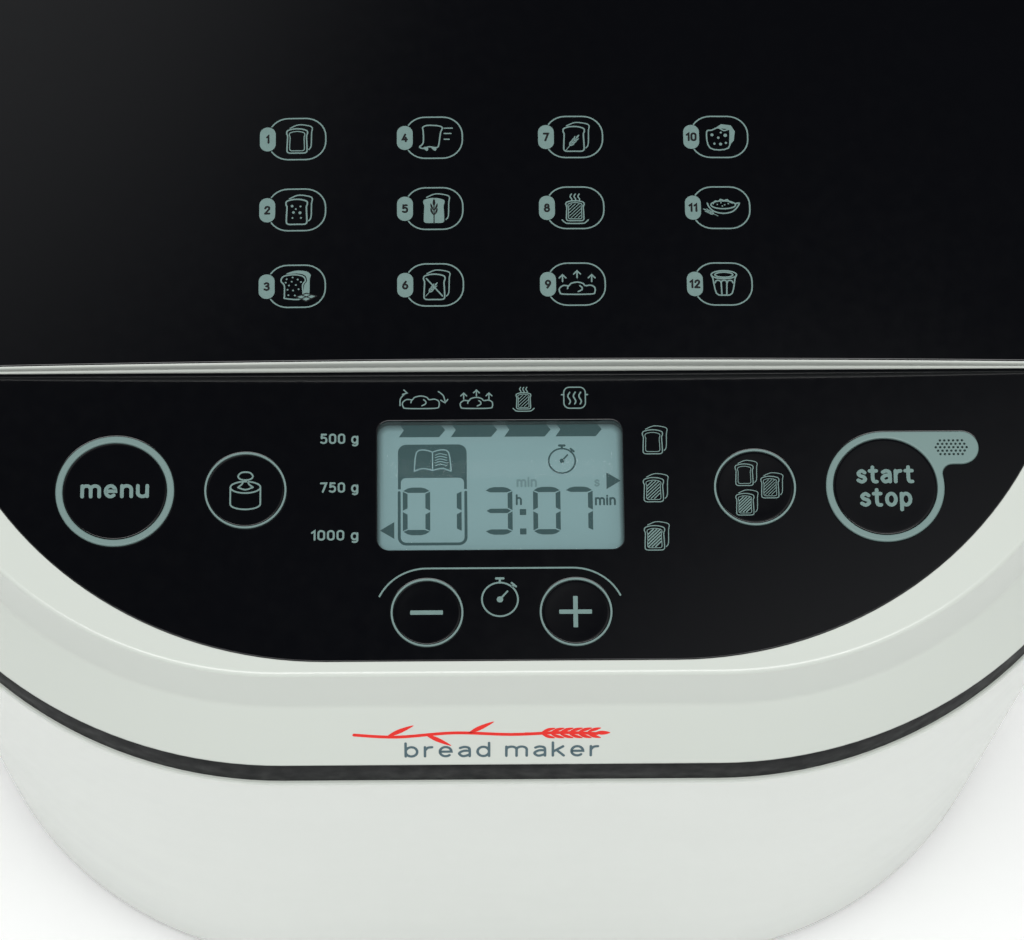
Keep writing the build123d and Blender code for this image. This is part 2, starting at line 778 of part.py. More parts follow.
def kneading_paddle():
    bottom = pan_floor + pan_wall + paddle_floor_gap
    hub = rod(0, chamber_y, bottom, bottom + paddle_hub_height, paddle_hub_radius)
    blade = block(0, paddle_reach, chamber_y - paddle_blade / 2, chamber_y + paddle_blade / 2,
                  bottom, bottom + paddle_hub_height + 4)
    corner = block(paddle_reach - 14, paddle_reach + 1, chamber_y - 5, chamber_y + 5,
                   bottom + 11, bottom + 40)
    tip = Pos(paddle_reach - 14, chamber_y, bottom + 11) * Rot(90, 0, 0) * Cylinder(14, 4)
    blade -= corner - tip
    return hub + blade - rod(0, chamber_y, bottom - 1, bottom + paddle_hub_height - 3.9,
                             shaft_radius + 0.02)


# ---- Drive -----------------------------------------------------------------------------
board_x0, board_x1 = -96.0, -30.0
board_y = chamber_front - 22.5


def chassis_plate():
    outline = shell_outline(chassis_height).inset(wall + chassis_inset)
    plate = prism(outline, chassis_height, motor_bottom)
    plate -= rod(motor_x, motor_y, 0, deck_height, motor_boss + 1)
    plate -= rod(0, chamber_y, 0, deck_height, bearing_radius)
    for x, y in post_places:
        plate -= rod(x, y, 0, deck_height, 1.8)
    plate += block(board_x0, board_x1, board_y, board_y + 1.5, motor_bottom - 0.5,
                   motor_bottom + 22)
    for x, y in chamber_leg_places:
        plate += rod(x, y, motor_bottom - 0.5, chamber_floor - sheet, 4.0)
    return plate


chamber_leg_places = mirrored([(chamber_width / 2 - 21, chamber_y - chamber_depth / 2 + 26.5),
                               (chamber_width / 2 - 21, chamber_y + chamber_depth / 2 - 26.5)])


def chassis_screws():
    screws = []
    for x, y in post_places:
        screws.append(rod(x, y, motor_bottom, motor_bottom + 2.2, 3.6)
                      + rod(x, y, chassis_height - 10, motor_bottom + 1, 1.45))
    return group(screws)


def bearing_housing():
    top = coupling_bottom - bearing_top_gap
    body = rod(0, chamber_y, chassis_height - 6, top, bearing_radius - 0.05)
    body += rod(0, chamber_y, motor_bottom, motor_bottom + bearing_flange_height, bearing_flange)
    return body - rod(0, chamber_y, 0, deck_height, shaft_radius + running_gap)


def drive_shaft():
    return rod(0, chamber_y, pulley_bottom - 5, coupling_bottom + coupling_hub, shaft_radius)


def drive_coupling():
    hub = rod(0, chamber_y, coupling_bottom, coupling_bottom + coupling_hub, coupling_radius)
    hub -= rod(0, chamber_y, coupling_bottom - 1, coupling_bottom + coupling_hub + 1,
               shaft_radius + 0.02)
    for side in (-1, 1):
        hub += rod(side * coupling_peg_circle, chamber_y, coupling_bottom + coupling_hub - 0.5,
                   peg_top, coupling_peg_radius)
    return hub


def pulley(x, y, radius, hub_radius, rim_height=1.0):
    top = pulley_bottom + pulley_width
    wheel = rod(x, y, pulley_bottom, top, radius)
    wheel += rod(x, y, pulley_bottom - rim_height, pulley_bottom, radius + pulley_rim)
    wheel += rod(x, y, top, top + rim_height, radius + pulley_rim)
    wheel += rod(x, y, pulley_bottom - 3, top + 3, hub_radius)
    return wheel - rod(x, y, pulley_bottom - 10, top + 10, shaft_radius + 0.02)


def large_pulley():
    wheel = pulley(0, chamber_y, large_pulley_radius, 11.0)
    top = pulley_bottom + pulley_width
    for low, high in ((pulley_bottom - 2, pulley_bottom + 4), (top - 4, top + 2)):
        wheel -= tube(0, chamber_y, low, high, large_pulley_radius - 4, 12.0)
    for i in range(6):
        angle = math.radians(60 * i)
        wheel -= rod(25 * math.cos(angle), chamber_y + 25 * math.sin(angle), 0, deck_height, 8.0)
    return wheel


def belt_face(extra):
    """The area inside a belt wrapped round both pulleys, grown by a distance."""
    large = large_pulley_radius + extra
    small = small_pulley_radius + extra
    heading = math.atan2(motor_y - chamber_y, motor_x)
    lap = math.acos((large - small) / belt_distance)
    corners = [(radius * math.cos(heading + turn) + x, radius * math.sin(heading + turn) + y)
               for turn, radius, x, y in ((-lap, large, 0, chamber_y),
                                          (-lap, small, motor_x, motor_y),
                                          (lap, small, motor_x, motor_y),
                                          (lap, large, 0, chamber_y))]
    run = Face(Wire(Polyline(*corners, close=True).edges()))
    flat = Pos(0, chamber_y) * Circle(large) + Pos(motor_x, motor_y) * Circle(small) + run
    return Pos(0, 0, pulley_bottom + 1) * flat


def drive_belt():
    height = pulley_width - 2
    outer = extrude(belt_face(belt_gap + belt_thickness), amount=height, dir=(0, 0, 1))
    return outer - extrude(belt_face(belt_gap), amount=height, dir=(0, 0, 1))


def motor_body():
    can = rod(motor_x, motor_y, motor_bottom, motor_bottom + motor_height, motor_radius)
    can = fillet(can.edges().group_by(Axis.Z)[-1], 4.0)
    can += rod(motor_x, motor_y, motor_bottom - 5, motor_bottom + 1, motor_boss)
    can += rod(motor_x, motor_y, motor_bottom + motor_height - 1,
               motor_bottom + motor_height + 2, motor_boss)
    for i in range(12):
        angle = math.radians(30 * i)
        reach = motor_radius - 12
        can -= rod(motor_x + reach * math.cos(angle), motor_y + reach * math.sin(angle),
                   motor_bottom + motor_height - 6, motor_bottom + motor_height + 1, 3.0)
    return can - rod(motor_x, motor_y, 0, deck_height, shaft_radius + running_gap)


def motor_shaft():
    top = motor_bottom + motor_height + fan_gap + fan_height
    return rod(motor_x, motor_y, pulley_bottom - 5, top, shaft_radius)


def motor_pulley():
    return pulley(motor_x, motor_y, small_pulley_radius, small_pulley_radius)


def cooling_fan():
    bottom = motor_bottom + motor_height + fan_gap
    fan = rod(motor_x, motor_y, bottom, bottom + fan_height, 9.0)
    for i in range(fan_blades):
        angle = 360.0 * i / fan_blades
        blade = Box(fan_radius - 7, 1.4, fan_height - 1, align=(Align.MIN, Align.CENTER, Align.MIN))
        fan += Pos(motor_x, motor_y, bottom + 0.5) * Rot(0, 0, angle) * Pos(7, 0, 0) * blade
    fan += rod(motor_x, motor_y, bottom, bottom + 1.2, fan_radius - 6)
    return fan - rod(motor_x, motor_y, 0, deck_height, shaft_radius + 0.02)


def motor_capacitor():
    can = rod(-21.0, motor_y - 15.0, motor_bottom, motor_bottom + 46, 12.0)
    return fillet(can.edges().group_by(Axis.Z)[-1], 2.0)


def power_board():
    board = block(board_x0, board_x1, board_y - board_thickness, board_y, motor_bottom + 2,
                  motor_bottom + 86)
    heat_sink = block(board_x0 + 6, board_x0 + 30, board_y - 14, board_y - 1, motor_bottom + 50,
                      motor_bottom + 76)
    relay = block(board_x1 - 26, board_x1 - 4, board_y - 17, board_y - 1, motor_bottom + 54,
                  motor_bottom + 72)
    return board + heat_sink + relay


def transformer():
    face = board_y - board_thickness
    core = block(-82, -44, face - 30, face, motor_bottom + 4, motor_bottom + 38)
    return core + block(-76, -50, face - 34, face - 1, motor_bottom + 10, motor_bottom + 32)


# ---- Write every piece -----------------------------------------------------------------
pieces = {
    "lower_body": lower_body, "base_plate": base_plate, "base_screws": base_screws, "feet": feet,
    "seam_band": seam_band, "upper_housing": upper_housing, "cord_gland": cord_gland,
    "control_panel": control_panel, "menu_ring": menu_ring, "start_ring": start_ring,
    "thin_rings": thin_rings, "display_lens": display_lens, "display_module": display_module,
    "control_board": control_board, "tact_switches": tact_switches, "buzzer": buzzer,
    "lid_frame": lid_frame, "lid_plate": lid_plate, "lid_window": lid_window,
    "lid_liner": lid_liner, "lid_glass": lid_glass, "lid_seal": lid_seal,
    "lid_screws": lid_screws, "hinge_brackets": hinge_brackets, "hinge_pins": hinge_pins,
    "chamber_liner": chamber_liner, "heating_element": heating_element,
    "element_holders": element_holders, "temperature_sensor": temperature_sensor,
    "thermal_fuse": thermal_fuse, "pan_seat": pan_seat, "bread_pan": bread_pan,
    "pan_base": pan_base, "pan_bush": pan_bush, "pan_handle": pan_handle,
    "handle_grip": handle_grip, "pan_shaft": pan_shaft, "pan_coupling": pan_coupling,
    "kneading_paddle": kneading_paddle, "chassis_plate": chassis_plate,
    "chassis_screws": chassis_screws, "bearing_housing": bearing_housing,
    "drive_shaft": drive_shaft, "drive_coupling": drive_coupling, "large_pulley": large_pulley,
    "drive_belt": drive_belt, "motor_body": motor_body, "motor_shaft": motor_shaft,
    "motor_pulley": motor_pulley, "cooling_fan": cooling_fan,
    "motor_capacitor": motor_capacitor, "power_board": power_board, "transformer": transformer,
}

os.makedirs("parts", exist_ok=True)
for name, build in pieces.items():
    export_step(build(), f"parts/{name}.step")
for name, button in buttons.items():
    export_step(button_cap(button), f"parts/{name}.step")
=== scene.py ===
"""Looks of a bread machine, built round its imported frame.

Sizes are in millimetres until a mesh is made, and places come from the frame's boxes.
"""
from __future__ import annotations

import logging
import math
from dataclasses import dataclass, field
from enum import Enum
from typing import Callable, Iterable, Sequence

import bmesh
import bpy
from mathutils import Matrix, Vector

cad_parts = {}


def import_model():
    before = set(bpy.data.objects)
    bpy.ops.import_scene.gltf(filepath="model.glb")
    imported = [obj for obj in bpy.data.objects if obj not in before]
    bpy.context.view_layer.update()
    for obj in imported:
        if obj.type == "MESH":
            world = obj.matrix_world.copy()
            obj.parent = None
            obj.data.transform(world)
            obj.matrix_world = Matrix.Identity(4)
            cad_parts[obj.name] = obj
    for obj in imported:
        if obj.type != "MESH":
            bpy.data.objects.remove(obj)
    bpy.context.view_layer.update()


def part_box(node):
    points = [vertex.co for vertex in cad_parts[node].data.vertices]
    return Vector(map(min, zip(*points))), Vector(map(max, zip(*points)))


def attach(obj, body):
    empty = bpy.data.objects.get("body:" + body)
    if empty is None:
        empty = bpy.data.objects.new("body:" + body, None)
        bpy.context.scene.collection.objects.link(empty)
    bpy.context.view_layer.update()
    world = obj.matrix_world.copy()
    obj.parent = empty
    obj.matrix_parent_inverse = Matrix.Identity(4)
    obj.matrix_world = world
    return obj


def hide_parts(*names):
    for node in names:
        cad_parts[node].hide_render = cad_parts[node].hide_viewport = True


MM = 0.001
TURN = 2.0 * math.pi
STROKE_STEP = 0.002         # height between two printed strokes that may cross
STROKE_TIERS = 7            # heights in use before they start again

log = logging.getLogger("bread_machine")

Point = tuple[float, float]
Loop = list[Point]
Lift = Callable[[float, float], float]


# ---- Plane geometry ------------------------------------------------------------------------
def arc(cx: float, cy: float, radius: float, start: float, end: float, steps: int) -> Loop:
    """Points along an arc, angles in degrees."""
    span = [math.radians(start + (end - start) * i / steps) for i in range(steps + 1)]
    return [(cx + radius * math.cos(a), cy + radius * math.sin(a)) for a in span]


def circle(cx: float, cy: float, radius: float, steps: int = 64) -> Loop:
    """A closed circle, anticlockwise."""
    return arc(cx, cy, radius, 0, 360, steps)[:-1]


def rounded(cx: float, cy: float, width: float, depth: float, corner: float, steps: int = 8) -> Loop:
    """A closed rectangle with round corners, anticlockwise."""
    x, y = width / 2 - corner, depth / 2 - corner
    loop: Loop = []
    for sx, sy, start in ((1, -1, -90), (1, 1, 0), (-1, 1, 90), (-1, -1, 180)):
        loop += arc(cx + sx * x, cy + sy * y, corner, start, start + 90, steps)
    return loop


def offset(loop: Sequence[Point], by: float) -> Loop:
    """A closed anticlockwise loop grown by a distance, with mitred corners.

    Args:
        loop: the points, in order.
        by: the distance outwards, or inwards when it is negative.

    Returns:
        As many points as the loop has.
    """
    moved: Loop = []
    count = len(loop)
    for i in range(count):
        before, here, after = (Vector(loop[(i + k) % count]) for k in (-1, 0, 1))
        one, two = (here - before).normalized(), (after - here).normalized()
        normal_one, normal_two = Vector((one.y, -one.x)), Vector((two.y, -two.x))
        mid = (normal_one + normal_two).normalized()
        reach = by / max(0.35, mid.dot(normal_two))
        moved.append((here.x + mid.x * reach, here.y + mid.y * reach))
    return moved


def smooth(points: Sequence[Point], closed: bool = False, steps: int = 5) -> Loop:
    """A Catmull-Rom curve through some points."""
    count = len(points)
    out: Loop = []
    for i in range(count if closed else count - 1):
        if closed:
            p0, p1, p2, p3 = (Vector(points[(i + k) % count]) for k in (-1, 0, 1, 2))
        else:
            p0, p1, p2, p3 = (Vector(points[min(max(i + k, 0), count - 1)]) for k in (-1, 0, 1, 2))
        for step in range(steps):
            t = step / steps
            p = 0.5 * (2 * p1 + (p2 - p0) * t + (2 * p0 - 5 * p1 + 4 * p2 - p3) * t ** 2
                       + (3 * p1 - p0 - 3 * p2 + p3) * t ** 3)
            out.append((p.x, p.y))
    if not closed:
        out.append(tuple(points[-1]))
    return out


def placed(points: Iterable[Point], x: float = 0.0, y: float = 0.0, size: float = 1.0,
           turn: float = 0.0) -> Loop:
    """Points scaled, turned by degrees and moved."""
    c, s = math.cos(math.radians(turn)) * size, math.sin(math.radians(turn)) * size
    return [(x + c * px - s * py, y + s * px + c * py) for px, py in points]


def flipped(points: Sequence[Point]) -> Loop:
    """Points mirrored left to right, still in the same turning order."""
    return [(-x, y) for x, y in reversed(points)]


@dataclass(frozen=True)
class Outline:
    """A rounded rectangle, symmetric left and right, with its own front and back corners."""

    half_width: float
    front: float
    back: float
    front_corner: float
    back_corner: float
    steps: int = 40

    def loop(self, inset: float = 0.0) -> Loop:
        """The outline's points, anticlockwise from the front's right end."""
        w, f, b = self.half_width - inset, self.front + inset, self.back - inset
        rf, rb = self.front_corner - inset, self.back_corner - inset
        return (arc(w - rf, f + rf, rf, -90, 0, self.steps) + arc(w - rb, b - rb, rb, 0, 90, self.steps)
                + arc(rb - w, b - rb, rb, 90, 180, self.steps)
                + arc(rf - w, f + rf, rf, 180, 270, self.steps))

    def cut(self, line: float, front: bool, corner: float = 0.0, inset: float = 0.0) -> Loop:
        """The part in front of or behind a line across.

        Args:
            line: y of the line.
            front: keeps the front part when true, else the back part.
            corner: how far the two new corners are rounded.
            inset: how far the outline is taken in first.

        Returns:
            A closed anticlockwise loop.
        """
        loop, side = self.loop(inset), 1 if front else -1
        kept: Loop = []
        tips: list[Point] = []
        for here, after in zip(loop, loop[1:] + loop[:1]):
            if side * (line - here[1]) > 0:
                kept.append(here)
            if (line - here[1]) * (line - after[1]) < 0:
                share = (line - here[1]) / (after[1] - here[1])
                tips.append((here[0] + share * (after[0] - here[0]), line))
                kept.append(tips[-1])
        for tip in tips if corner > 0 else ():
            kept = eased(kept, kept.index(tip), corner)
        return kept


def eased(loop: Sequence[Point], index: int, reach: float) -> Loop:
    """Rounds one corner of a closed loop, starting a distance before it and ending as far after."""
    turned = list(loop[index:]) + list(loop[:index])
    tip = Vector(turned[0])

    def walk(points: Sequence[Point]) -> tuple[Vector, Loop]:
        """The point a reach along from the tip, and the points beyond it."""
        left, last = reach, tip
        for k, point in enumerate(points):
            step = (Vector(point) - last).length
            if step > left:
                return last.lerp(Vector(point), left / step), list(points[k:])
            left, last = left - step, Vector(point)
        return last, []

    ahead, rest = walk(turned[1:])
    back, rest_back = walk(list(reversed(turned[1:])))
    middle = [p for p in rest if p in rest_back]
    bend = [(1 - t) ** 2 * back + 2 * t * (1 - t) * tip + t ** 2 * ahead
            for t in (0.0, 0.17, 0.33, 0.5, 0.67, 0.83, 1.0)]
    return [tuple(p) for p in bend] + middle


def rim_profile(bottom: float, top: float, upper: float, lower: float = 0.0,
                steps: int = 4) -> list[tuple[float, float]]:
    """A plate's side as (inset, height) pairs from its underside to its top, with round edges.

    Args:
        bottom: height of the underside.
        top: height of the top.
        upper: radius of the top edge.
        lower: radius of the bottom edge.
        steps: facets in each round edge.
    """
    line: list[tuple[float, float]] = []
    guard = 0.12
    if lower > 0:
        line.append((lower + guard, bottom))
        line += [(lower * (1 - math.sin(a)), bottom + lower * (1 - math.cos(a)))
                 for a in (math.pi / 2 * i / steps for i in range(steps + 1))]
    else:
        line.append((0.0, bottom))
    line += [(upper * (1 - math.cos(a)), top - upper * (1 - math.sin(a)))
             for a in (math.pi / 2 * i / steps for i in range(steps + 1))]
    line.append((upper + guard, top))
    return line


# ---- Meshes --------------------------------------------------------------------------------
class Shape:
    """A mesh being built in millimetres."""

    def __init__(self) -> None:
        """Starts empty."""
        self.bm = bmesh.new()

    def ring(self, loop: Sequence[Point], z: float) -> list[bmesh.types.BMVert]:
        """Adds a closed row of points at one height."""
        return [self.bm.verts.new((x, y, z)) for x, y in loop]

    def band(self, low: Sequence[bmesh.types.BMVert], high: Sequence[bmesh.types.BMVert]) -> None:
        """Joins two rows of as many points with quads."""
        count = len(low)
        for i in range(count):
            j = (i + 1) % count
            self.bm.faces.new((low[i], low[j], high[j], high[i]))

    def cap(self, rings: Sequence[Sequence[bmesh.types.BMVert]]) -> None:
        """Fills the plane area between an outer row and any rows inside it."""
        edges = []
        for ring in rings:
            for i in range(len(ring)):
                pair = (ring[i], ring[(i + 1) % len(ring)])
                edges.append(self.bm.edges.get(pair) or self.bm.edges.new(pair))
        bmesh.ops.triangle_fill(self.bm, use_beauty=True, edges=edges)

    def plate(self, outer: Sequence[Point], profile: Sequence[tuple[float, float]],
              holes: Sequence[tuple[Sequence[Point], Sequence[tuple[float, float]]]] = ()) -> Shape:
        """Adds a flat plate with shaped edges and holes.

        Args:
            outer: the plate's outline.
            profile: (inset, height) pairs of its side, from underside to top.
            holes: for each hole its outline and its own profile, whose insets widen the hole.

        Returns:
            This shape.
        """
        lows, highs = [], []
        for loop, side, outward in [(outer, profile, -1)] + [(h, p, 1) for h, p in holes]:
            rows = [self.ring(offset(loop, outward * inset), z) for inset, z in side]
            for low, high in zip(rows, rows[1:]):
                self.band(low, high)
            lows.append(rows[0])
            highs.append(rows[-1])
        self.cap(lows)
        self.cap(highs)
        return self

    def skin(self, rows: Sequence[tuple[Sequence[Point], float]], closed: bool = False) -> Shape:
        """Adds a surface through rows of points given with their heights."""
        rings = [self.ring(loop, z) for loop, z in rows]
        pairs = list(zip(rings, rings[1:])) + ([(rings[-1], rings[0])] if closed else [])
        for low, high in pairs:
            self.band(low, high)
        if not closed:
            self.cap([rings[0]])
            self.cap([rings[-1]])
        return self

    def sliced(self, step: float, lift: Callable[[float, float, float], float]) -> Shape:
        """Cuts the mesh across X at a pitch, then lifts each point by a function of its place."""
        xs = [v.co.x for v in self.bm.verts]
        low, high = min(xs), max(xs)
        for i in range(1, int((high - low) / step) + 1):
            geometry = self.bm.verts[:] + self.bm.edges[:] + self.bm.faces[:]
            bmesh.ops.bisect_plane(self.bm, geom=geometry, plane_co=(low + i * step, 0, 0),
                                   plane_no=(1, 0, 0), dist=1e-4)
        for v in self.bm.verts:
            v.co.z += lift(v.co.x, v.co.y, v.co.z)
        return self

    def mesh(self, name: str, matrix: Matrix | None = None) -> bpy.types.Mesh:
        """Turns the shape into a smooth Blender mesh in metres, with its faces outwards."""
        bmesh.ops.remove_doubles(self.bm, verts=self.bm.verts, dist=1e-4)
        bmesh.ops.recalc_face_normals(self.bm, faces=self.bm.faces)
        for face in self.bm.faces:
            face.smooth = True
        self.bm.transform(matrix or Matrix.Identity(4))
        self.bm.transform(Matrix.Scale(MM, 4))
        mesh = bpy.data.meshes.new(name)
        self.bm.to_mesh(mesh)
        self.bm.free()
        return mesh


def lathe(profile: Sequence[tuple[float, float]], steps: int = 64) -> Shape:
    """A closed (radius, height) profile turned round the Z axis."""
    shape = Shape()
    rows = [[(r * math.cos(TURN * i / steps), r * math.sin(TURN * i / steps), z)
             for i in range(steps)] for r, z in profile]
    rings = [[shape.bm.verts.new(p) for p in row] for row in rows]
    for low, high in zip(rings, rings[1:] + rings[:1]):
        shape.band(low, high)
    return shape


# ---- Finishes ------------------------------------------------------------------------------
class Graph:
    """A material's node tree, with the few node patterns that the finishes share."""

    def __init__(self, name: str) -> None:
        """Makes the material and its coordinate node."""
        self.material = bpy.data.materials.new(name)
        self.material.use_nodes = True
        self.tree = self.material.node_tree
        self.shader = self.tree.nodes["Principled BSDF"]
        self.coordinates = self.tree.nodes.new("ShaderNodeTexCoord").outputs["Object"]

    def link(self, source: bpy.types.NodeSocket, target: bpy.types.NodeSocket) -> None:
        """Joins two sockets."""
        self.tree.links.new(source, target)

    def stretch(self, scale: tuple[float, float, float]) -> bpy.types.NodeSocket:
        """Object coordinates scaled along each axis."""
        node = self.tree.nodes.new("ShaderNodeMapping")
        node.inputs["Scale"].default_value = scale
        self.link(self.coordinates, node.inputs["Vector"])
        return node.outputs["Vector"]

    def noise(self, scale: float, detail: float = 3.0,
              vector: bpy.types.NodeSocket | None = None) -> bpy.types.NodeSocket:
        """Cloudy noise with a number of features per metre."""
        node = self.tree.nodes.new("ShaderNodeTexNoise")
        node.inputs["Scale"].default_value = scale
        node.inputs["Detail"].default_value = detail
        self.link(vector or self.coordinates, node.inputs["Vector"])
        return node.outputs["Fac"]

    def spread(self, value: bpy.types.NodeSocket, low: float, high: float,
               start: float = 0.3, end: float = 0.7) -> bpy.types.NodeSocket:
        """Maps a value from its usual spread onto a range."""
        node = self.tree.nodes.new("ShaderNodeMapRange")
        for name, number in (("From Min", start), ("From Max", end), ("To Min", low),
                             ("To Max", high)):
            node.inputs[name].default_value = number
        self.link(value, node.inputs["Value"])
        return node.outputs["Result"]

    def blend(self, share: bpy.types.NodeSocket, first: Sequence[float],
              second: Sequence[float]) -> bpy.types.NodeSocket:
        """Mixes two colours by a share."""
        node = self.tree.nodes.new("ShaderNodeMix")
        node.data_type = "RGBA"
        node.inputs["A"].default_value = (*first, 1.0)
        node.inputs["B"].default_value = (*second, 1.0)
        self.link(share, node.inputs["Factor"])
        return node.outputs["Result"]

    def colour(self, share: bpy.types.NodeSocket, first: Sequence[float],
               second: Sequence[float]) -> None:
        """Colours the surface between two colours by a share."""
        self.link(self.blend(share, first, second), self.shader.inputs["Base Color"])

    def rough(self, pattern: bpy.types.NodeSocket, low: float, high: float) -> None:
        """Varies the roughness with a pattern."""
        self.link(self.spread(pattern, low, high), self.shader.inputs["Roughness"])

    def bump(self, height: bpy.types.NodeSocket, depth: float) -> None:
        """Raises the surface by a height pattern, depth in metres."""
        node = self.tree.nodes.new("ShaderNodeBump")
        node.inputs["Strength"].default_value = 1.0
        node.inputs["Distance"].default_value = depth
        self.link(height, node.inputs["Height"])
        self.link(node.outputs["Normal"], self.shader.inputs["Normal"])

    def set(self, **values: float | Sequence[float]) -> None:
        """Sets shader sockets by name, with underscores for spaces."""
        for name, value in values.items():
            self.shader.inputs[name.replace("_", " ")].default_value = value


def tint(colour: Sequence[float], factor: float) -> tuple[float, float, float]:
    """A colour made lighter or darker."""
    return tuple(min(1.0, c * factor) for c in colour)


@dataclass(frozen=True)
class Moulding:
    """Injection-moulded plastic or rubber: even colour with faint clouding and surface ripple."""

    name: str
    colour: tuple[float, float, float]
    roughness: float = 0.2
    clouding: float = 0.04
    ripple: float = 90.0
    ripple_depth: float = 2e-6
    grain: float = 0.0
    grain_depth: float = 0.0
    gloss: float = 0.5
    coat: float = 0.0
    wear: float = 310.0
    wear_share: float = 0.17

    def make(self) -> bpy.types.Material:
        """Builds the material."""
        g = Graph(self.name)
        g.colour(g.spread(g.noise(23.0, 4.0), 0.0, 1.0), tint(self.colour, 1 - self.clouding),
                 tint(self.colour, 1 + self.clouding))
        g.rough(g.noise(self.wear, 4.0), self.roughness * (1 - self.wear_share),
                self.roughness * (1 + self.wear_share))
        if self.grain > 0:
            g.bump(g.noise(self.grain, 2.0), self.grain_depth)
        else:
            g.bump(g.noise(self.ripple, 1.0), self.ripple_depth)
        g.set(Specular_IOR_Level=self.gloss, Coat_Weight=self.coat, Coat_Roughness=0.04)
        return g.material


@dataclass(frozen=True)
class Metal:
    """Bare metal with drawn or ground lines along one axis."""

    name: str
    colour: tuple[float, float, float]
    roughness: float = 0.3
    lines: tuple[float, float, float] = (40.0, 900.0, 900.0)
    stain: tuple[float, float, float] | None = None
    stain_scale: float = 18.0
    depth: float = 4e-6
    metallic: float = 1.0

    def make(self) -> bpy.types.Material:
        """Builds the material."""
        g = Graph(self.name)
        drawn = g.noise(1.0, 3.0, g.stretch(self.lines))
        marked = self.stain or tint(self.colour, 0.82)
        g.colour(g.spread(g.noise(self.stain_scale, 5.0), 0.0, 1.0, 0.38, 0.72), self.colour, marked)
        g.rough(drawn, self.roughness * 0.75, self.roughness * 1.3)
        g.bump(drawn, self.depth)
        g.set(Metallic=self.metallic)
        return g.material


@dataclass(frozen=True)
class Coated:
    """Dark non-stick coating with fine pale flecks over metal."""

    name: str
    colour: tuple[float, float, float]
    fleck: tuple[float, float, float]
    roughness: float = 0.36

    def make(self) -> bpy.types.Material:
        """Builds the material."""
        g = Graph(self.name)
        g.colour(g.spread(g.noise(1900.0, 1.0), 0.0, 1.0, 0.62, 0.70), self.colour, self.fleck)
        g.rough(g.noise(60.0, 4.0), self.roughness * 0.8, self.roughness * 1.25)
        g.bump(g.noise(1400.0, 2.0), 8e-6)
        g.set(Metallic=0.35)
        return g.material


@dataclass(frozen=True)
class Clear:
    """Clear or smoked sheet that is seen through."""

    name: str
    colour: tuple[float, float, float]
    alpha: float
    roughness: float = 0.05

    def make(self) -> bpy.types.Material:
        """Builds the material."""
        g = Graph(self.name)
        g.colour(g.spread(g.noise(35.0, 3.0), 0.0, 1.0), self.colour, tint(self.colour, 0.93))
        g.rough(g.noise(140.0, 3.0), self.roughness, self.roughness * 1.6)
        g.set(Alpha=self.alpha)
        return g.material


@dataclass(frozen=True)
class Print:
    """Screen-printed ink, with the mesh's slight unevenness."""

    name: str
    colour: tuple[float, float, float]
    roughness: float = 0.45
    unevenness: float = 0.05

    def make(self) -> bpy.types.Material:
        """Builds the material."""
        g = Graph(self.name)
        g.colour(g.spread(g.noise(900.0, 2.0), 0.0, 1.0), tint(self.colour, 1 - self.unevenness),
                 tint(self.colour, 1 + self.unevenness))
        g.rough(g.noise(500.0, 2.0), self.roughness * 0.9, self.roughness * 1.1)
        g.set(Specular_IOR_Level=0.3)
        return g.material


@dataclass(frozen=True)
class Shaded:
    """A display face with painted shade: its colour darkens towards the edge of its opening, where the
    recess would shade it.
    """

    name: str
    colour: tuple[float, float, float]
    # painted shade colour at the opening's edge
    edge: tuple[float, float, float]
    roughness: float

    def make(self) -> bpy.types.Material:
        """Builds the material."""
        g = Graph(self.name)
        # Painted shade: this attribute is 0 at the opening's edge and 1 further in; it blends the edge
        # shade colour into the face colour.
        inward = g.tree.nodes.new("ShaderNodeAttribute")
        inward.attribute_name = "inward"
        g.colour(g.spread(inward.outputs["Fac"], 0.0, 1.0, 0.0, 1.0), self.edge, self.colour)
        g.rough(g.noise(500.0, 2.0), self.roughness * 0.9, self.roughness * 1.1)
        g.set(Specular_IOR_Level=0.3)
        return g.material


@dataclass(frozen=True)
class Circuit:
    """Circuit board lacquer over copper tracks."""

    name: str
    colour: tuple[float, float, float]
    track: tuple[float, float, float]

    def make(self) -> bpy.types.Material:
        """Builds the material."""
        g = Graph(self.name)
        bricks = g.tree.nodes.new("ShaderNodeTexBrick")
        bricks.inputs["Scale"].default_value = 120.0
        bricks.inputs["Mortar Size"].default_value = 0.03
        bricks.inputs["Color1"].default_value = (*self.colour, 1.0)
        bricks.inputs["Color2"].default_value = (*tint(self.colour, 0.8), 1.0)
        bricks.inputs["Mortar"].default_value = (*self.track, 1.0)
        g.link(g.coordinates, bricks.inputs["Vector"])
        g.link(bricks.outputs["Color"], g.shader.inputs["Base Color"])
        g.rough(g.noise(220.0), 0.25, 0.4)
        g.bump(bricks.outputs["Fac"], 2e-5)
        return g.material


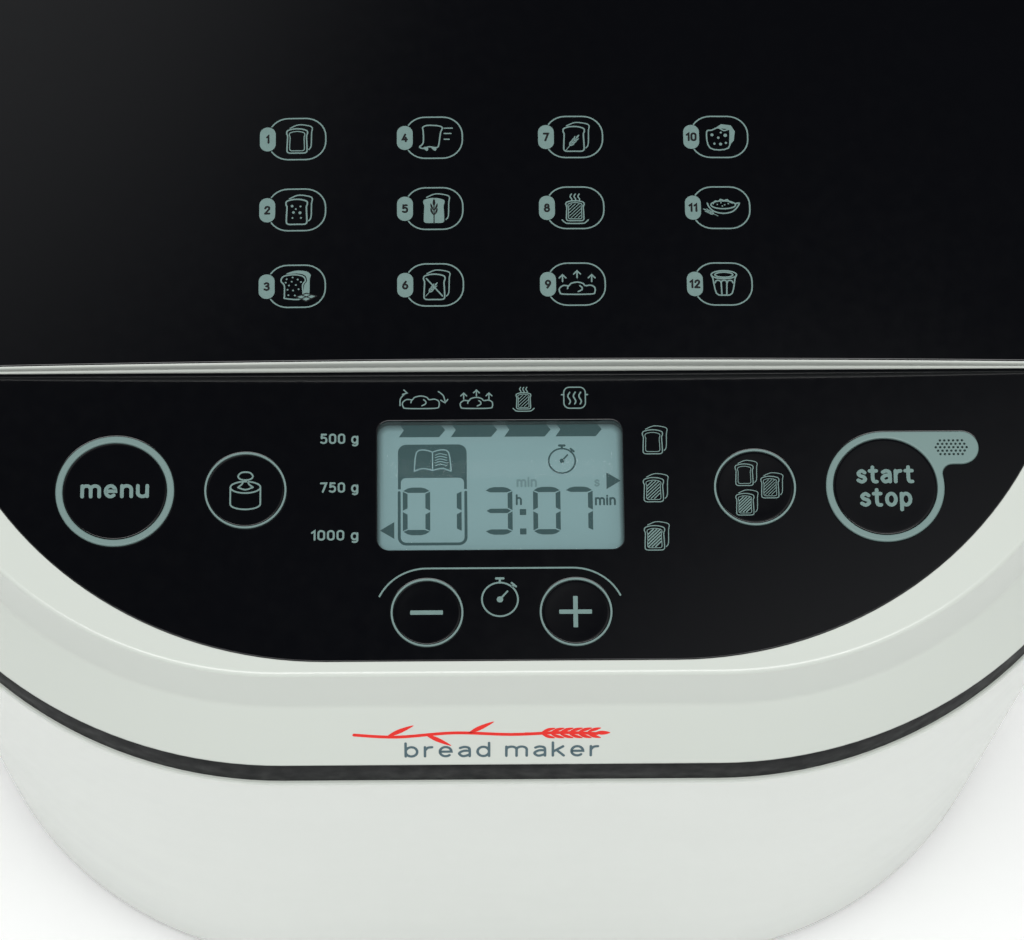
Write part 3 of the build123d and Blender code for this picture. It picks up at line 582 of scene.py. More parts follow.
class Finish(Enum):
    """Every finish on the machine."""

    WHITE_SHELL = Moulding("white_gloss_shell", (0.605, 0.64, 0.595), 0.2, 0.008, 14.0, 4e-6,
                           wear=25.0, wear_share=0.08)
    BLACK_GLOSS = Moulding("black_gloss", (0.0010, 0.0012, 0.0022), 0.10, 0.08, 55.0, 1.5e-6)
    BLACK_CAP = Moulding("black_gloss_cap", (0.0012, 0.0014, 0.0024), 0.09, 0.08, 70.0, 1.5e-6)
    SEAM = Moulding("black_seam", (0.006, 0.007, 0.0075), 0.5, 0.06, 80.0, 4e-6, gloss=0.04)
    TRIM = Moulding("grey_trim", (0.170, 0.250, 0.240), 0.42, 0.03, 120.0, 3e-6, gloss=0.22)
    GREY_PLASTIC = Moulding("grey_moulding", (0.07, 0.072, 0.075), 0.45, 0.06, grain=900.0,
                            grain_depth=2e-5)
    WHITE_PLASTIC = Moulding("white_moulding", (0.62, 0.61, 0.58), 0.5, 0.04, grain=700.0,
                             grain_depth=1.5e-5)
    RUBBER = Moulding("black_rubber", (0.018, 0.018, 0.018), 0.75, 0.12, grain=1300.0,
                      grain_depth=3e-5)
    SILICONE = Moulding("grey_silicone", (0.32, 0.31, 0.29), 0.6, 0.05, grain=500.0,
                        grain_depth=1e-5)
    MOTOR_PAINT = Moulding("motor_paint", (0.03, 0.032, 0.036), 0.4, 0.1, grain=1100.0,
                           grain_depth=1.5e-5)
    LINER = Metal("liner_sheet", (0.66, 0.67, 0.66), 0.24, (900.0, 900.0, 30.0))
    CHAMBER = Metal("chamber_sheet", (0.62, 0.63, 0.62), 0.48, (260.0, 260.0, 260.0), None, 30.0,
                    1e-6, 0.45)
    ZINC = Metal("zinc_sheet", (0.52, 0.53, 0.55), 0.38, (300.0, 300.0, 300.0),
                 (0.66, 0.67, 0.69), 90.0)
    STEEL = Metal("ground_steel", (0.62, 0.62, 0.63), 0.22, (900.0, 900.0, 60.0))
    HOT_STEEL = Metal("heat_stained_steel", (0.16, 0.14, 0.12), 0.42, (200.0, 200.0, 200.0),
                      (0.30, 0.22, 0.14), 25.0)
    CAST = Metal("cast_aluminium", (0.56, 0.57, 0.58), 0.5, (420.0, 420.0, 420.0), None, 60.0, 2e-5)
    BRONZE = Metal("sintered_bronze", (0.52, 0.34, 0.15), 0.45, (800.0, 800.0, 800.0))
    NON_STICK = Coated("non_stick", (0.035, 0.035, 0.038), (0.15, 0.15, 0.155))
    WINDOW = Clear("smoked_window", (0.012, 0.012, 0.014), 0.82, 0.04)
    GLASS = Clear("inner_glass", (0.75, 0.82, 0.79), 0.22, 0.04)
    LENS = Clear("display_lens", (0.20, 0.27, 0.27), 0.06, 0.03)
    # The display face's second colour is painted shade along the edge of its opening.
    DISPLAY = Shaded("display_face", (0.188, 0.312, 0.325), (0.05, 0.09, 0.095), 0.5)
    SEGMENT = Print("display_segment", (0.010, 0.048, 0.052), 0.5, 0.03)
    GHOST = Print("display_ghost", (0.118, 0.208, 0.216), 0.5, 0.03)
    INK = Print("grey_ink", (0.150, 0.235, 0.222), 0.55, 0.04)
    INK_DARK = Print("black_ink", (0.004, 0.004, 0.005), 0.4, 0.03)
    INK_RED = Print("red_ink", (0.75, 0.025, 0.018), 0.4, 0.04)
    INK_SLATE = Print("slate_ink", (0.075, 0.125, 0.145), 0.45, 0.04)
    DISPLAY_MARK = Print("display_mark", (0.188, 0.312, 0.325), 0.5, 0.02)
    BOARD = Circuit("circuit_board", (0.012, 0.09, 0.035), (0.10, 0.22, 0.10))

    @property
    def material(self) -> bpy.types.Material:
        """The finish's material, made once."""
        if self not in MADE:
            MADE[self] = self.value.make()
        return MADE[self]


MADE: dict[Finish, bpy.types.Material] = {}


# ---- Pieces --------------------------------------------------------------------------------
@dataclass(frozen=True)
class Box:
    """A node's corners in millimetres."""

    low: Vector
    high: Vector

    @classmethod
    def of(cls, node: str) -> Box:
        """Reads a node's box from the frame."""
        low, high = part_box(node)
        return cls(low / MM, high / MM)

    @property
    def middle(self) -> Vector:
        """The box's centre."""
        return (self.low + self.high) / 2

    @property
    def width(self) -> float:
        """Its size across."""
        return self.high.x - self.low.x

    @property
    def depth(self) -> float:
        """Its size from front to back."""
        return self.high.y - self.low.y


def shown(name: str, data: bpy.types.ID) -> bpy.types.Object:
    """A new object in the scene."""
    thing = bpy.data.objects.new(name, data)
    bpy.context.scene.collection.objects.link(thing)
    return thing


def evaluated(thing: bpy.types.Object) -> bpy.types.Mesh:
    """An object's mesh with its modifiers applied."""
    bpy.context.view_layer.update()
    return bpy.data.meshes.new_from_object(
        thing.evaluated_get(bpy.context.evaluated_depsgraph_get()))


def add_piece(name: str, mesh: bpy.types.Mesh, finish: Finish, body: str,
              replaces: Sequence[str] = ()) -> bpy.types.Object:
    """Puts a finished mesh into the scene as a piece of the machine.

    Args:
        name: the piece's name.
        mesh: its mesh, already in its place.
        finish: what it is made of.
        body: the body that it moves with.
        replaces: the CAD nodes that it stands for.

    Returns:
        The new object.
    """
    piece = shown(name, mesh)
    if not mesh.materials:
        mesh.materials.append(finish.material)
    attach(piece, body)
    if replaces:
        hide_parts(*replaces)
    log.info("%s: %d faces, %s, on %s", name, len(mesh.polygons), finish.name.lower(), body)
    return piece


def dress(node: str, finish: Finish, bevel: float = 0.25) -> None:
    """Gives a CAD node its material and soft edges.

    Args:
        node: the node's name.
        finish: its finish.
        bevel: width of its softened edges, or 0 for none.
    """
    piece = bpy.data.objects[node]
    piece.data.materials.clear()
    piece.data.materials.append(finish.material)
    weld = piece.modifiers.new("join", "WELD")
    weld.merge_threshold = 2e-6
    if bevel > 0:
        soft = piece.modifiers.new("edges", "BEVEL")
        soft.width = bevel * MM
        soft.segments = 2
        soft.limit_method = "ANGLE"
        soft.angle_limit = math.radians(40)
        soft.use_clamp_overlap = True
    log.info("%s: frame shape, %s", node, finish.name.lower())


class Layout(Enum):
    """How a repeater sets its copies out."""

    POINTS = "points"
    ROW = "row"
    RING = "ring"


Place = tuple[Sequence[float], Sequence[float]]


class Repeater:
    """A geometry node tree that sets copies of one item in a layout and joins them."""

    def __init__(self, layout: Layout) -> None:
        """Builds the tree for a layout."""
        self.tree = bpy.data.node_groups.new(f"repeat_in_{layout.value}", "GeometryNodeTree")
        face, self.inputs = self.tree.interface, {}
        face.new_socket(name="Geometry", in_out="OUTPUT", socket_type="NodeSocketGeometry")
        for name, kind in (("Geometry", "Geometry"), ("Item", "Object"), ("Finish", "Material"),
                           ("Count", "Int"), ("Start", "Vector"), ("Step", "Vector"),
                           ("Radius", "Float"), ("Size Jitter", "Float"), ("Seed", "Int")):
            socket = face.new_socket(name=name, in_out="INPUT", socket_type=f"NodeSocket{kind}")
            self.inputs[name] = socket.identifier
        source = self.node("NodeGroupInput").outputs
        points, turn = getattr(self, layout.value)(source)
        item = self.node("GeometryNodeObjectInfo")
        item.transform_space = "ORIGINAL"
        self.join(source["Item"], item.inputs["Object"])
        jitter = self.node("FunctionNodeRandomValue")
        jitter.data_type = "FLOAT"
        self.join(self.maths("SUBTRACT", 1.0, source["Size Jitter"]), jitter.inputs[2])
        self.join(self.maths("ADD", 1.0, source["Size Jitter"]), jitter.inputs[3])
        self.join(source["Seed"], jitter.inputs["Seed"])
        copies = self.node("GeometryNodeInstanceOnPoints")
        self.join(points, copies.inputs["Points"])
        self.join(item.outputs["Geometry"], copies.inputs["Instance"])
        self.join(turn, copies.inputs["Rotation"])
        self.join(jitter.outputs[1], copies.inputs["Scale"])
        joined = self.node("GeometryNodeRealizeInstances")
        self.join(copies.outputs["Instances"], joined.inputs["Geometry"])
        finish = self.node("GeometryNodeSetMaterial")
        self.join(joined.outputs["Geometry"], finish.inputs["Geometry"])
        self.join(source["Finish"], finish.inputs["Material"])
        self.join(finish.outputs["Geometry"], self.node("NodeGroupOutput").inputs["Geometry"])

    def node(self, kind: str) -> bpy.types.Node:
        """Adds a node."""
        return self.tree.nodes.new(kind)

    def join(self, first: bpy.types.NodeSocket, second: bpy.types.NodeSocket) -> None:
        """Links two sockets."""
        self.tree.links.new(first, second)

    def maths(self, kind: str, *values: float | bpy.types.NodeSocket) -> bpy.types.NodeSocket:
        """One step of arithmetic on numbers or sockets."""
        node = self.node("ShaderNodeMath")
        node.operation = kind
        for socket, value in zip(node.inputs, values):
            if isinstance(value, float):
                socket.default_value = value
            else:
                self.join(value, socket)
        return node.outputs[0]

    def rotation(self, angles: bpy.types.NodeSocket) -> bpy.types.NodeSocket:
        """Euler angles as a rotation."""
        node = self.node("FunctionNodeEulerToRotation")
        self.join(angles, node.inputs[0])
        return node.outputs[0]

    def points(self, source: bpy.types.NodeOutputs) -> tuple[bpy.types.NodeSocket, ...]:
        """The host's own points, each turned by its "turn" attribute."""
        turn = self.node("GeometryNodeInputNamedAttribute")
        turn.data_type = "FLOAT_VECTOR"
        turn.inputs["Name"].default_value = "turn"
        return source["Geometry"], self.rotation(turn.outputs["Attribute"])

    def row(self, source: bpy.types.NodeOutputs) -> tuple[bpy.types.NodeSocket, ...]:
        """A straight row of points from Start, a Step apart."""
        line = self.node("GeometryNodeMeshLine")
        line.mode = "OFFSET"
        for name, target in (("Count", "Count"), ("Start", "Start Location"), ("Step", "Offset")):
            self.join(source[name], line.inputs[target])
        return line.outputs["Mesh"], self.rotation(self.node("ShaderNodeCombineXYZ").outputs[0])

    def ring(self, source: bpy.types.NodeOutputs) -> tuple[bpy.types.NodeSocket, ...]:
        """Points on a circle round Start, each turned to face outwards."""
        circle_node = self.node("GeometryNodeMeshCircle")
        self.join(source["Count"], circle_node.inputs["Vertices"])
        self.join(source["Radius"], circle_node.inputs["Radius"])
        moved = self.node("GeometryNodeTransform")
        self.join(circle_node.outputs["Mesh"], moved.inputs["Geometry"])
        self.join(source["Start"], moved.inputs["Translation"])
        angle = self.maths("DIVIDE", self.maths("MULTIPLY", self.node(
            "GeometryNodeInputIndex").outputs[0], TURN), source["Count"])
        spin = self.node("ShaderNodeCombineXYZ")
        self.join(angle, spin.inputs["Z"])
        return moved.outputs["Geometry"], self.rotation(spin.outputs[0])

    def make(self, name: str, item: bpy.types.Mesh, finish: Finish, places: Sequence[Place] = (),
             **sizes: float | int | Sequence[float]) -> bpy.types.Mesh:
        """Sets the copies out and joins them in one plain mesh.

        Args:
            name: the new mesh's name.
            item: the mesh that is repeated, about its own origin.
            finish: its finish.
            places: for the points layout, each copy's place in millimetres and its angles.
            sizes: the tree's other inputs, with underscores for spaces and lengths in metres.

        Returns:
            A mesh in its place.
        """
        points = bpy.data.meshes.new("places")
        points.from_pydata([Vector(at) * MM for at, _ in places], [], [])
        turn = points.attributes.new("turn", "FLOAT_VECTOR", "POINT")
        for k, (_, angles) in enumerate(places):
            turn.data[k].vector = [math.radians(a) for a in angles]
        host, pattern = shown("host", points), shown("item", item)
        modifier = host.modifiers.new("repeat", "NODES")
        modifier.node_group = self.tree
        values = {"Item": pattern, "Finish": finish.material, "Seed": 7, "Size Jitter": 0.0,
                  **{key.replace("_", " "): value for key, value in sizes.items()}}
        for key, value in values.items():
            modifier[self.inputs[key]] = value
        mesh = evaluated(host)
        host.modifiers.remove(modifier)
        for thing in (host, pattern):
            bpy.data.objects.remove(thing)
        mesh.name = name
        return mesh


def islands(node: str, gap: float) -> list[Point]:
    """Middles in plan of a node's separate solids, gathered from points nearer than a gap."""
    groups: list[list[Vector]] = []
    for vertex in bpy.data.objects[node].data.vertices:
        at = vertex.co.xy / MM
        near = next((group for group in groups if (group[0] - at).length < gap), None)
        if near is None:
            groups.append([at])
        else:
            near.append(at)
    return [tuple((max(p[k] for p in group) + min(p[k] for p in group)) / 2 for k in (0, 1))
            for group in groups]


def screw(radius: float, height: float, shank: float, length: float) -> bpy.types.Mesh:
    """A screw with a domed cross-head, its seat at the origin and its head along +Z.

    Args:
        radius: the head's radius.
        height: the head's height.
        shank: the shank's radius over its ridges.
        length: the shank's length.

    Returns:
        A closed mesh.
    """
    profile = [(0.0005, -length), (shank * 0.4, -length + 0.1), (shank, -length + 1.2)]
    ridges = max(2, int((length - 1.8) / 0.9))
    for k in range(ridges):
        z = -length + 1.2 + k * (length - 1.8) / ridges
        profile += [(shank, z + 0.1), (shank * 0.78, z + 0.35), (shank, z + 0.7)]
    profile += [(shank, 0.0)]
    profile += [(radius - 0.1, 0.0), (radius, 0.1), (radius, height * 0.35)]
    profile += [(radius * math.cos(a), height * (0.35 + 0.65 * math.sin(a)))
                for a in (math.radians(15 * i) for i in range(1, 6))]
    profile += [(0.0005, height)]
    head = lathe(profile, 32).mesh("screw")
    arms = []
    for wide, deep in ((radius * 1.05, radius * 0.24), (radius * 0.24, radius * 1.05)):
        arms.append(Shape().plate(rounded(0, 0, wide, deep, 0.1, 2),
                                  [(0.12, height * 0.3), (0.0, height + 1)]).mesh("arm"))
    return cut_out(head, arms)


# ---- Printed marks -------------------------------------------------------------------------
def bow(cx: float, cy: float, rx: float, ry: float, start: float, end: float,
        steps: int = 14) -> Loop:
    """Points along part of an ellipse, angles in degrees."""
    return [(cx + rx * px, cy + ry * py) for px, py in arc(0, 0, 1, start, end, steps)]


def oval(cx: float, cy: float, rx: float, ry: float, steps: int = 32) -> Loop:
    """A closed ellipse, anticlockwise."""
    return bow(cx, cy, rx, ry, 0, 360, steps)[:-1]


LETTERS: dict[str, list[Loop]] = {
    " ": [],
    "a": [smooth([(0.05, 0.88), (0.3, 1.0), (0.56, 0.9), (0.62, 0.62), (0.62, 0.0)]),
          smooth([(0.62, 0.58), (0.25, 0.57), (0.0, 0.3), (0.22, 0.0), (0.62, 0.16)])],
    "b": [[(0, 1.42), (0, 0)], bow(0.34, 0.5, 0.34, 0.5, 180, 540, 28)],
    "d": [[(0.68, 1.42), (0.68, 0)], bow(0.34, 0.5, 0.34, 0.5, 0, 360, 28)],
    "e": [[(0.0, 0.5), (0.68, 0.5)] + bow(0.34, 0.5, 0.34, 0.5, 0, 312, 24)[1:]],
    "g": [bow(0.34, 0.5, 0.34, 0.5, 0, 360, 28),
          [(0.68, 1.0), (0.68, -0.1)] + bow(0.34, -0.1, 0.34, 0.32, 0, -130, 10)[1:]],
    "h": [[(0, 1.42), (0, 0)], bow(0.33, 0.66, 0.33, 0.34, 180, 0) + [(0.66, 0)]],
    "i": [[(0, 0), (0, 1)], [(0, 1.33), (0, 1.36)]],
    "k": [[(0, 1.42), (0, 0)], [(0.6, 1.0), (0.0, 0.42)], [(0.22, 0.6), (0.64, 0)]],
    "m": [[(0, 0), (0, 1)], bow(0.3, 0.68, 0.3, 0.32, 180, 0) + [(0.6, 0)],
          bow(0.9, 0.68, 0.3, 0.32, 180, 0) + [(1.2, 0)]],
    "n": [[(0, 0), (0, 1)], bow(0.33, 0.66, 0.33, 0.34, 180, 0) + [(0.66, 0)]],
    "o": [bow(0.35, 0.5, 0.35, 0.5, 0, 360, 28)],
    "p": [[(0, 1.0), (0, -0.42)], bow(0.34, 0.5, 0.34, 0.5, 180, 540, 28)],
    "r": [[(0, 0), (0, 1)], smooth([(0, 0.62), (0.16, 0.92), (0.42, 0.99)])],
    "s": [smooth([(0.54, 0.84), (0.3, 1.0), (0.04, 0.8), (0.14, 0.57), (0.46, 0.44),
                  (0.56, 0.2), (0.3, 0.0), (0.0, 0.15)])],
    "t": [smooth([(0.16, 1.34), (0.16, 0.9), (0.16, 0.3), (0.26, 0.03), (0.48, 0.01)]),
          [(-0.08, 1.0), (0.46, 1.0)]],
    "u": [[(0, 1)] + bow(0.33, 0.34, 0.33, 0.34, 180, 360), [(0.66, 1), (0.66, 0)]],
    "0": [rounded(0.35, 0.68, 0.7, 1.36, 0.34, 5) + [(0.36, 0.0)]],
    "1": [[(0.0, 1.08), (0.32, 1.36), (0.32, 0.0)]],
    "2": [smooth([(0.03, 1.02), (0.15, 1.28), (0.4, 1.36), (0.64, 1.22), (0.66, 0.94),
                  (0.5, 0.66), (0.0, 0.0)]), [(0.0, 0.0), (0.7, 0.0)]],
    "3": [smooth([(0.04, 1.22), (0.34, 1.36), (0.62, 1.2), (0.6, 0.86), (0.28, 0.73)]),
          smooth([(0.28, 0.73), (0.64, 0.6), (0.68, 0.2), (0.36, 0.0), (0.0, 0.14)])],
    "4": [[(0.44, 1.36), (0.0, 0.36), (0.74, 0.36)], [(0.54, 0.72), (0.54, 0.0)]],
    "5": [[(0.62, 1.36), (0.1, 1.36), (0.06, 0.76)],
          smooth([(0.06, 0.76), (0.36, 0.88), (0.64, 0.68), (0.64, 0.2), (0.34, 0.0),
                  (0.0, 0.12)])],
    "6": [smooth([(0.48, 1.36), (0.2, 0.96), (0.02, 0.56)]),
          bow(0.36, 0.4, 0.36, 0.4, 0, 360, 24)],
    "7": [[(0.0, 1.36), (0.68, 1.36), (0.24, 0.0)]],
    "8": [bow(0.35, 1.03, 0.28, 0.33, 0, 360, 20), bow(0.35, 0.37, 0.36, 0.37, 0, 360, 24)],
    "9": [bow(0.36, 0.96, 0.36, 0.4, 0, 360, 24),
          smooth([(0.24, 0.0), (0.52, 0.4), (0.7, 0.8)])],
}


class Ink:
    """Flat printed artwork that is laid on a surface in thin layers."""

    def __init__(self, surface: Lift, film: float = 0.03) -> None:
        """Starts a print.

        Args:
            surface: height of the printed surface at a place.
            film: thickness of one layer of ink.
        """
        self.surface = surface
        self.film = film
        self.layers: dict[Finish, Shape] = {}
        self.order: list[Finish] = []
        self.strokes = 0

    def tier(self) -> float:
        """A hair's difference in height for each stroke, so that crossing strokes don't mesh."""
        self.strokes += 1
        return STROKE_STEP * (self.strokes % STROKE_TIERS)

    def sheet(self, finish: Finish) -> Shape:
        """The layer for one ink."""
        if finish not in self.layers:
            self.layers[finish] = Shape()
            self.order.append(finish)
        return self.layers[finish]

    def stroke(self, points: Sequence[Point], width: float, finish: Finish = Finish.INK,
               closed: bool = False) -> None:
        """Draws a line of a width through points, with square mitres and round ends."""
        shape = self.sheet(finish)
        half, z = width / 2, self.tier()
        count = len(points)
        left, right = [], []
        for i in range(count):
            here = Vector(points[i])
            before = Vector(points[i - 1]) if closed or i > 0 else here
            after = Vector(points[(i + 1) % count]) if closed or i < count - 1 else here
            one, two = here - before, after - here
            one = one.normalized() if one.length > 1e-9 else two.normalized()
            two = two.normalized() if two.length > 1e-9 else one
            normal = (Vector((-one.y, one.x)) + Vector((-two.y, two.x)))
            normal = normal.normalized() if normal.length > 1e-9 else Vector((-two.y, two.x))
            reach = half / max(0.5, normal.dot(Vector((-two.y, two.x))))
            left.append(shape.bm.verts.new((*(here + normal * reach), z)))
            right.append(shape.bm.verts.new((*(here - normal * reach), z)))
        for i in range(count if closed else count - 1):
            j = (i + 1) % count
            shape.bm.faces.new((right[i], right[j], left[j], left[i]))
        if not closed:
            for tip, inner in ((points[0], points[1]), (points[-1], points[-2])):
                away = math.degrees(math.atan2(tip[1] - inner[1], tip[0] - inner[0]))
                self.fill(arc(tip[0], tip[1], half, away - 90, away + 90, 5), finish)

    def fill(self, loop: Sequence[Point], finish: Finish = Finish.INK,
             holes: Sequence[Sequence[Point]] = ()) -> None:
        """Fills an outline, less any holes."""
        shape, z = self.sheet(finish), self.tier()
        if not holes and len(loop) < 5:
            shape.bm.faces.new(shape.ring(loop, z))
            return
        shape.cap([shape.ring(loop, z)] + [shape.ring(hole, z) for hole in holes])

    def text(self, words: str, x: float, y: float, width: float, height: float,
             finish: Finish = Finish.INK, pen: float = 0.4) -> None:
        """Sets a line of rounded letters so that it fills a box.

        Args:
            words: the text.
            x: the middle of the box across.
            y: its middle up.
            width: its width.
            height: its height, tails and all.
            finish: the ink.
            pen: width of the strokes.
        """
        strokes: list[Loop] = []
        along = 0.0
        for letter in words:
            lines = LETTERS[letter]
            strokes += [placed(line, along) for line in lines]
            along += max([p[0] for line in lines for p in line], default=0.1) + 0.46
        xs = [p[0] for line in strokes for p in line]
        ys = [p[1] for line in strokes for p in line]
        sx = (width - pen) / max(max(xs) - min(xs), 0.01)
        sy = (height - pen) / (max(ys) - min(ys))
        mx, my = (max(xs) + min(xs)) / 2, (max(ys) + min(ys)) / 2
        for line in strokes:
            self.stroke([(x + sx * (px - mx), y + sy * (py - my)) for px, py in line], pen, finish)

    def finish(self, name: str, body: str, slot: str, matrix: Matrix | None = None) -> None:
        """Lays each layer on the surface and adds it as a piece."""
        for level, finish in enumerate(self.order, start=1):
            shape = self.layers[finish]
            bm = shape.bm
            bmesh.ops.remove_doubles(bm, verts=bm.verts, dist=1e-3)
            bm.normal_update()
            for face in bm.faces[:]:
                if face.calc_area() < 1e-7:
                    bm.faces.remove(face)
                elif face.normal.z < 0:
                    face.normal_flip()
            for v in bm.verts:
                v.co.z += self.surface(v.co.x, v.co.y) + level * self.film
            top = bm.faces[:]
            under = bmesh.ops.extrude_face_region(bm, geom=top, use_keep_orig=True)["geom"]
            for v in (g for g in under if isinstance(g, bmesh.types.BMVert)):
                v.co.z -= level * self.film + 0.03
            for face in (g for g in under if isinstance(g, bmesh.types.BMFace)):
                face.normal_flip()
            bm.transform(matrix or Matrix.Identity(4))
            bm.transform(Matrix.Scale(MM, 4))
            mesh = bpy.data.meshes.new(f"{name}_{finish.name.lower()}")
            bm.to_mesh(mesh)
            bm.free()
            add_piece(mesh.name, mesh, finish, body)


# ---- Artwork -------------------------------------------------------------------------------
class Artwork:
    """The small pictures that are printed on the lid, the panel and the buttons."""

    def __init__(self, ink: Ink) -> None:
        """Draws into one print."""
        self.ink = ink

    @staticmethod
    def slice_loop(width: float = 4.6, height: float = 5.9) -> Loop:
        """The outline of a slice of tin bread."""
        half = [(0.0, -1.0), (0.66, -1.0), (0.88, -0.93), (0.95, -0.78), (0.93, -0.2), (0.90, 0.38),
                (0.99, 0.60), (0.93, 0.83), (0.5, 0.96)]
        shape = half + [(0.0, 1.0)] + [(-x, y) for x, y in reversed(half[1:])]
        return smooth([(x * width / 2, y * height / 2) for x, y in shape], True, 4)

    def slices(self, x: float, y: float, size: float = 1.0, line: float = 0.3,
               finish: Finish = Finish.INK, doubled: bool = False, filled: bool = False) -> None:
        """Two slices, one behind the other."""
        front = placed(self.slice_loop(), x - 0.22 * size, y - 0.45 * size, size)
        behind = smooth([(-1.75, 2.65), (0.1, 3.45), (2.3, 3.2), (3.1, 2.65), (2.95, 1.4),
                         (2.85, -1.7), (2.35, -2.6)], steps=5)
        self.ink.stroke(placed(behind, x, y, size), line * 0.85, finish)
        if filled:
            self.ink.fill(front, finish)
        else:
            self.ink.stroke(front, line, finish, True)
        if doubled:
            inner = placed(self.slice_loop(3.4, 4.7), x - 0.22 * size, y - 0.5 * size, size)
            self.ink.stroke(inner, line * 0.7, finish, True)

    def hatch(self, x: float, y: float, width: float, height: float, pitch: float, line: float,
              finish: Finish = Finish.INK) -> None:
        """Slanted lines across a rectangle."""
        w, h = width / 2, height / 2
        for k in range(int(-(w + h) / pitch), int((w + h) / pitch) + 1):
            c = k * pitch
            ends = sorted({(round(px, 3), round(py, 3)) for px, py in
                           ((-w, -w + c), (w, w + c), (-h - c, -h), (h - c, h))
                           if abs(px) <= w + 1e-6 and abs(py) <= h + 1e-6})
            if len(ends) == 2 and math.dist(*ends) > pitch:
                self.ink.stroke(placed(ends, x, y), line, finish)

    def ear(self, x: float, y: float, size: float, turn: float, finish: Finish,
            pairs: int = 3) -> None:
        """An ear of wheat, upright before it is turned."""
        grain = smooth([(0.0, 0.0), (0.34, 0.42), (0.36, 0.95), (0.12, 0.55)], True, 4)
        for k in range(pairs):
            for side in (1, -1):
                leaf = placed(grain, 0.06, 0.1 + 0.62 * k)
                leaf = leaf if side > 0 else flipped(leaf)
                self.ink.fill(placed(leaf, x, y, size, turn), finish)
        tip = smooth([(0.0, 0.0), (0.17, 0.5), (0.0, 1.05), (-0.17, 0.5)], True, 4)
        self.ink.fill(placed(placed(tip, 0, 0.62 * pairs), x, y, size, turn), finish)
        self.ink.stroke(placed([(0, -1.0), (0, 0.62 * pairs)], x, y, size, turn), 0.13 * size,
                        finish)

    def dough(self, x: float, y: float, size: float, line: float,
              finish: Finish = Finish.INK) -> None:
        """A lump of dough."""
        outline = smooth([(-2.9, -1.25), (2.9, -1.25), (3.8, -0.75), (3.75, 0.35), (2.9, 0.85),
                          (1.75, 0.75), (1.2, 1.3), (0.0, 1.6), (-1.3, 1.3), (-1.85, 0.75),
                          (-3.0, 0.8), (-3.85, 0.1), (-3.75, -0.8)], True, 5)
        self.ink.stroke(placed(outline, x, y, size), line, finish, True)
        fold = smooth([(0.55, 0.75), (1.0, 0.35), (1.0, -0.2), (0.2, -0.65)], steps=4)
        self.ink.stroke(placed(fold, x, y, size), line, finish)
        self.ink.stroke(placed(smooth([(-1.8, 0.75), (-2.05, 0.4), (-2.1, 0.05)]), x, y, size),
                        line, finish)

    def arrow(self, x: float, y: float, size: float, line: float, turn: float = 0.0,
              finish: Finish = Finish.INK) -> None:
        """A small arrow pointing up before it is turned."""
        self.ink.stroke(placed([(0, -0.7), (0, 0.6)], x, y, size, turn), line, finish)
        self.ink.stroke(placed([(-0.62, 0.05), (0, 0.7), (0.62, 0.05)], x, y, size, turn), line,
                        finish)

    def steam(self, x: float, y: float, height: float, pitch: float, line: float,
              finish: Finish = Finish.INK) -> None:
        """Three wavy lines."""
        for k in (-1, 0, 1):
            wave = [(x + k * pitch + 0.22 * pitch * math.sin(t * 2.2 * math.pi),
                     y + (t - 0.5) * height) for t in (i / 9 for i in range(10))]
            self.ink.stroke(wave, line, finish)

    def toast(self, x: float, y: float, size: float, line: float,
              finish: Finish = Finish.INK) -> None:
        """A hot slice of toast on a plate."""
        self.ink.stroke(placed(self.slice_loop(4.0, 4.8), x, y - 0.7 * size, size), line, finish,
                        True)
        self.ink.stroke(placed(self.slice_loop(3.1, 3.9), x, y - 0.7 * size, size), line * 0.7,
                        finish, True)
        self.hatch(x, y - 0.72 * size, 2.5 * size, 3.3 * size, max(0.72, 0.78 * size), line * 0.6,
                   finish)
        self.steam(x, y + 2.45 * size, 1.7 * size, 0.85 * size, line, finish)
        plate = smooth([(-2.85, -2.9), (-2.2, -3.55), (-1.5, -3.75), (1.5, -3.75), (2.2, -3.55),
                        (2.85, -2.9)], steps=3)
        self.ink.stroke(placed(plate, x, y, size), line, finish)

    def stopwatch(self, x: float, y: float, radius: float, line: float, finish: Finish) -> None:
        """A stopwatch with its knobs and hand."""
        self.ink.stroke(circle(x, y, radius, 48), line, finish, True)
        self.ink.stroke([(x, y + radius), (x, y + radius * 1.22)], line * 1.3, finish)
        self.ink.stroke([(x - 0.2 * radius, y + radius * 1.25),
                         (x + 0.2 * radius, y + radius * 1.25)], line * 1.4, finish)
        c = math.cos(math.radians(48))
        self.ink.stroke([(x + c * radius, y + c * 1.08 * radius),
                         (x + 0.8 * radius, y + 0.88 * radius)], line, finish)
        self.ink.stroke([(x + 0.66 * radius, y + 0.98 * radius),
                         (x + 0.9 * radius, y + 0.76 * radius)], line * 1.2, finish)
        self.ink.fill(circle(x, y, radius * 0.18, 16), finish)
        self.ink.stroke([(x, y), (x + 0.42 * radius, y + 0.48 * radius)], line, finish)

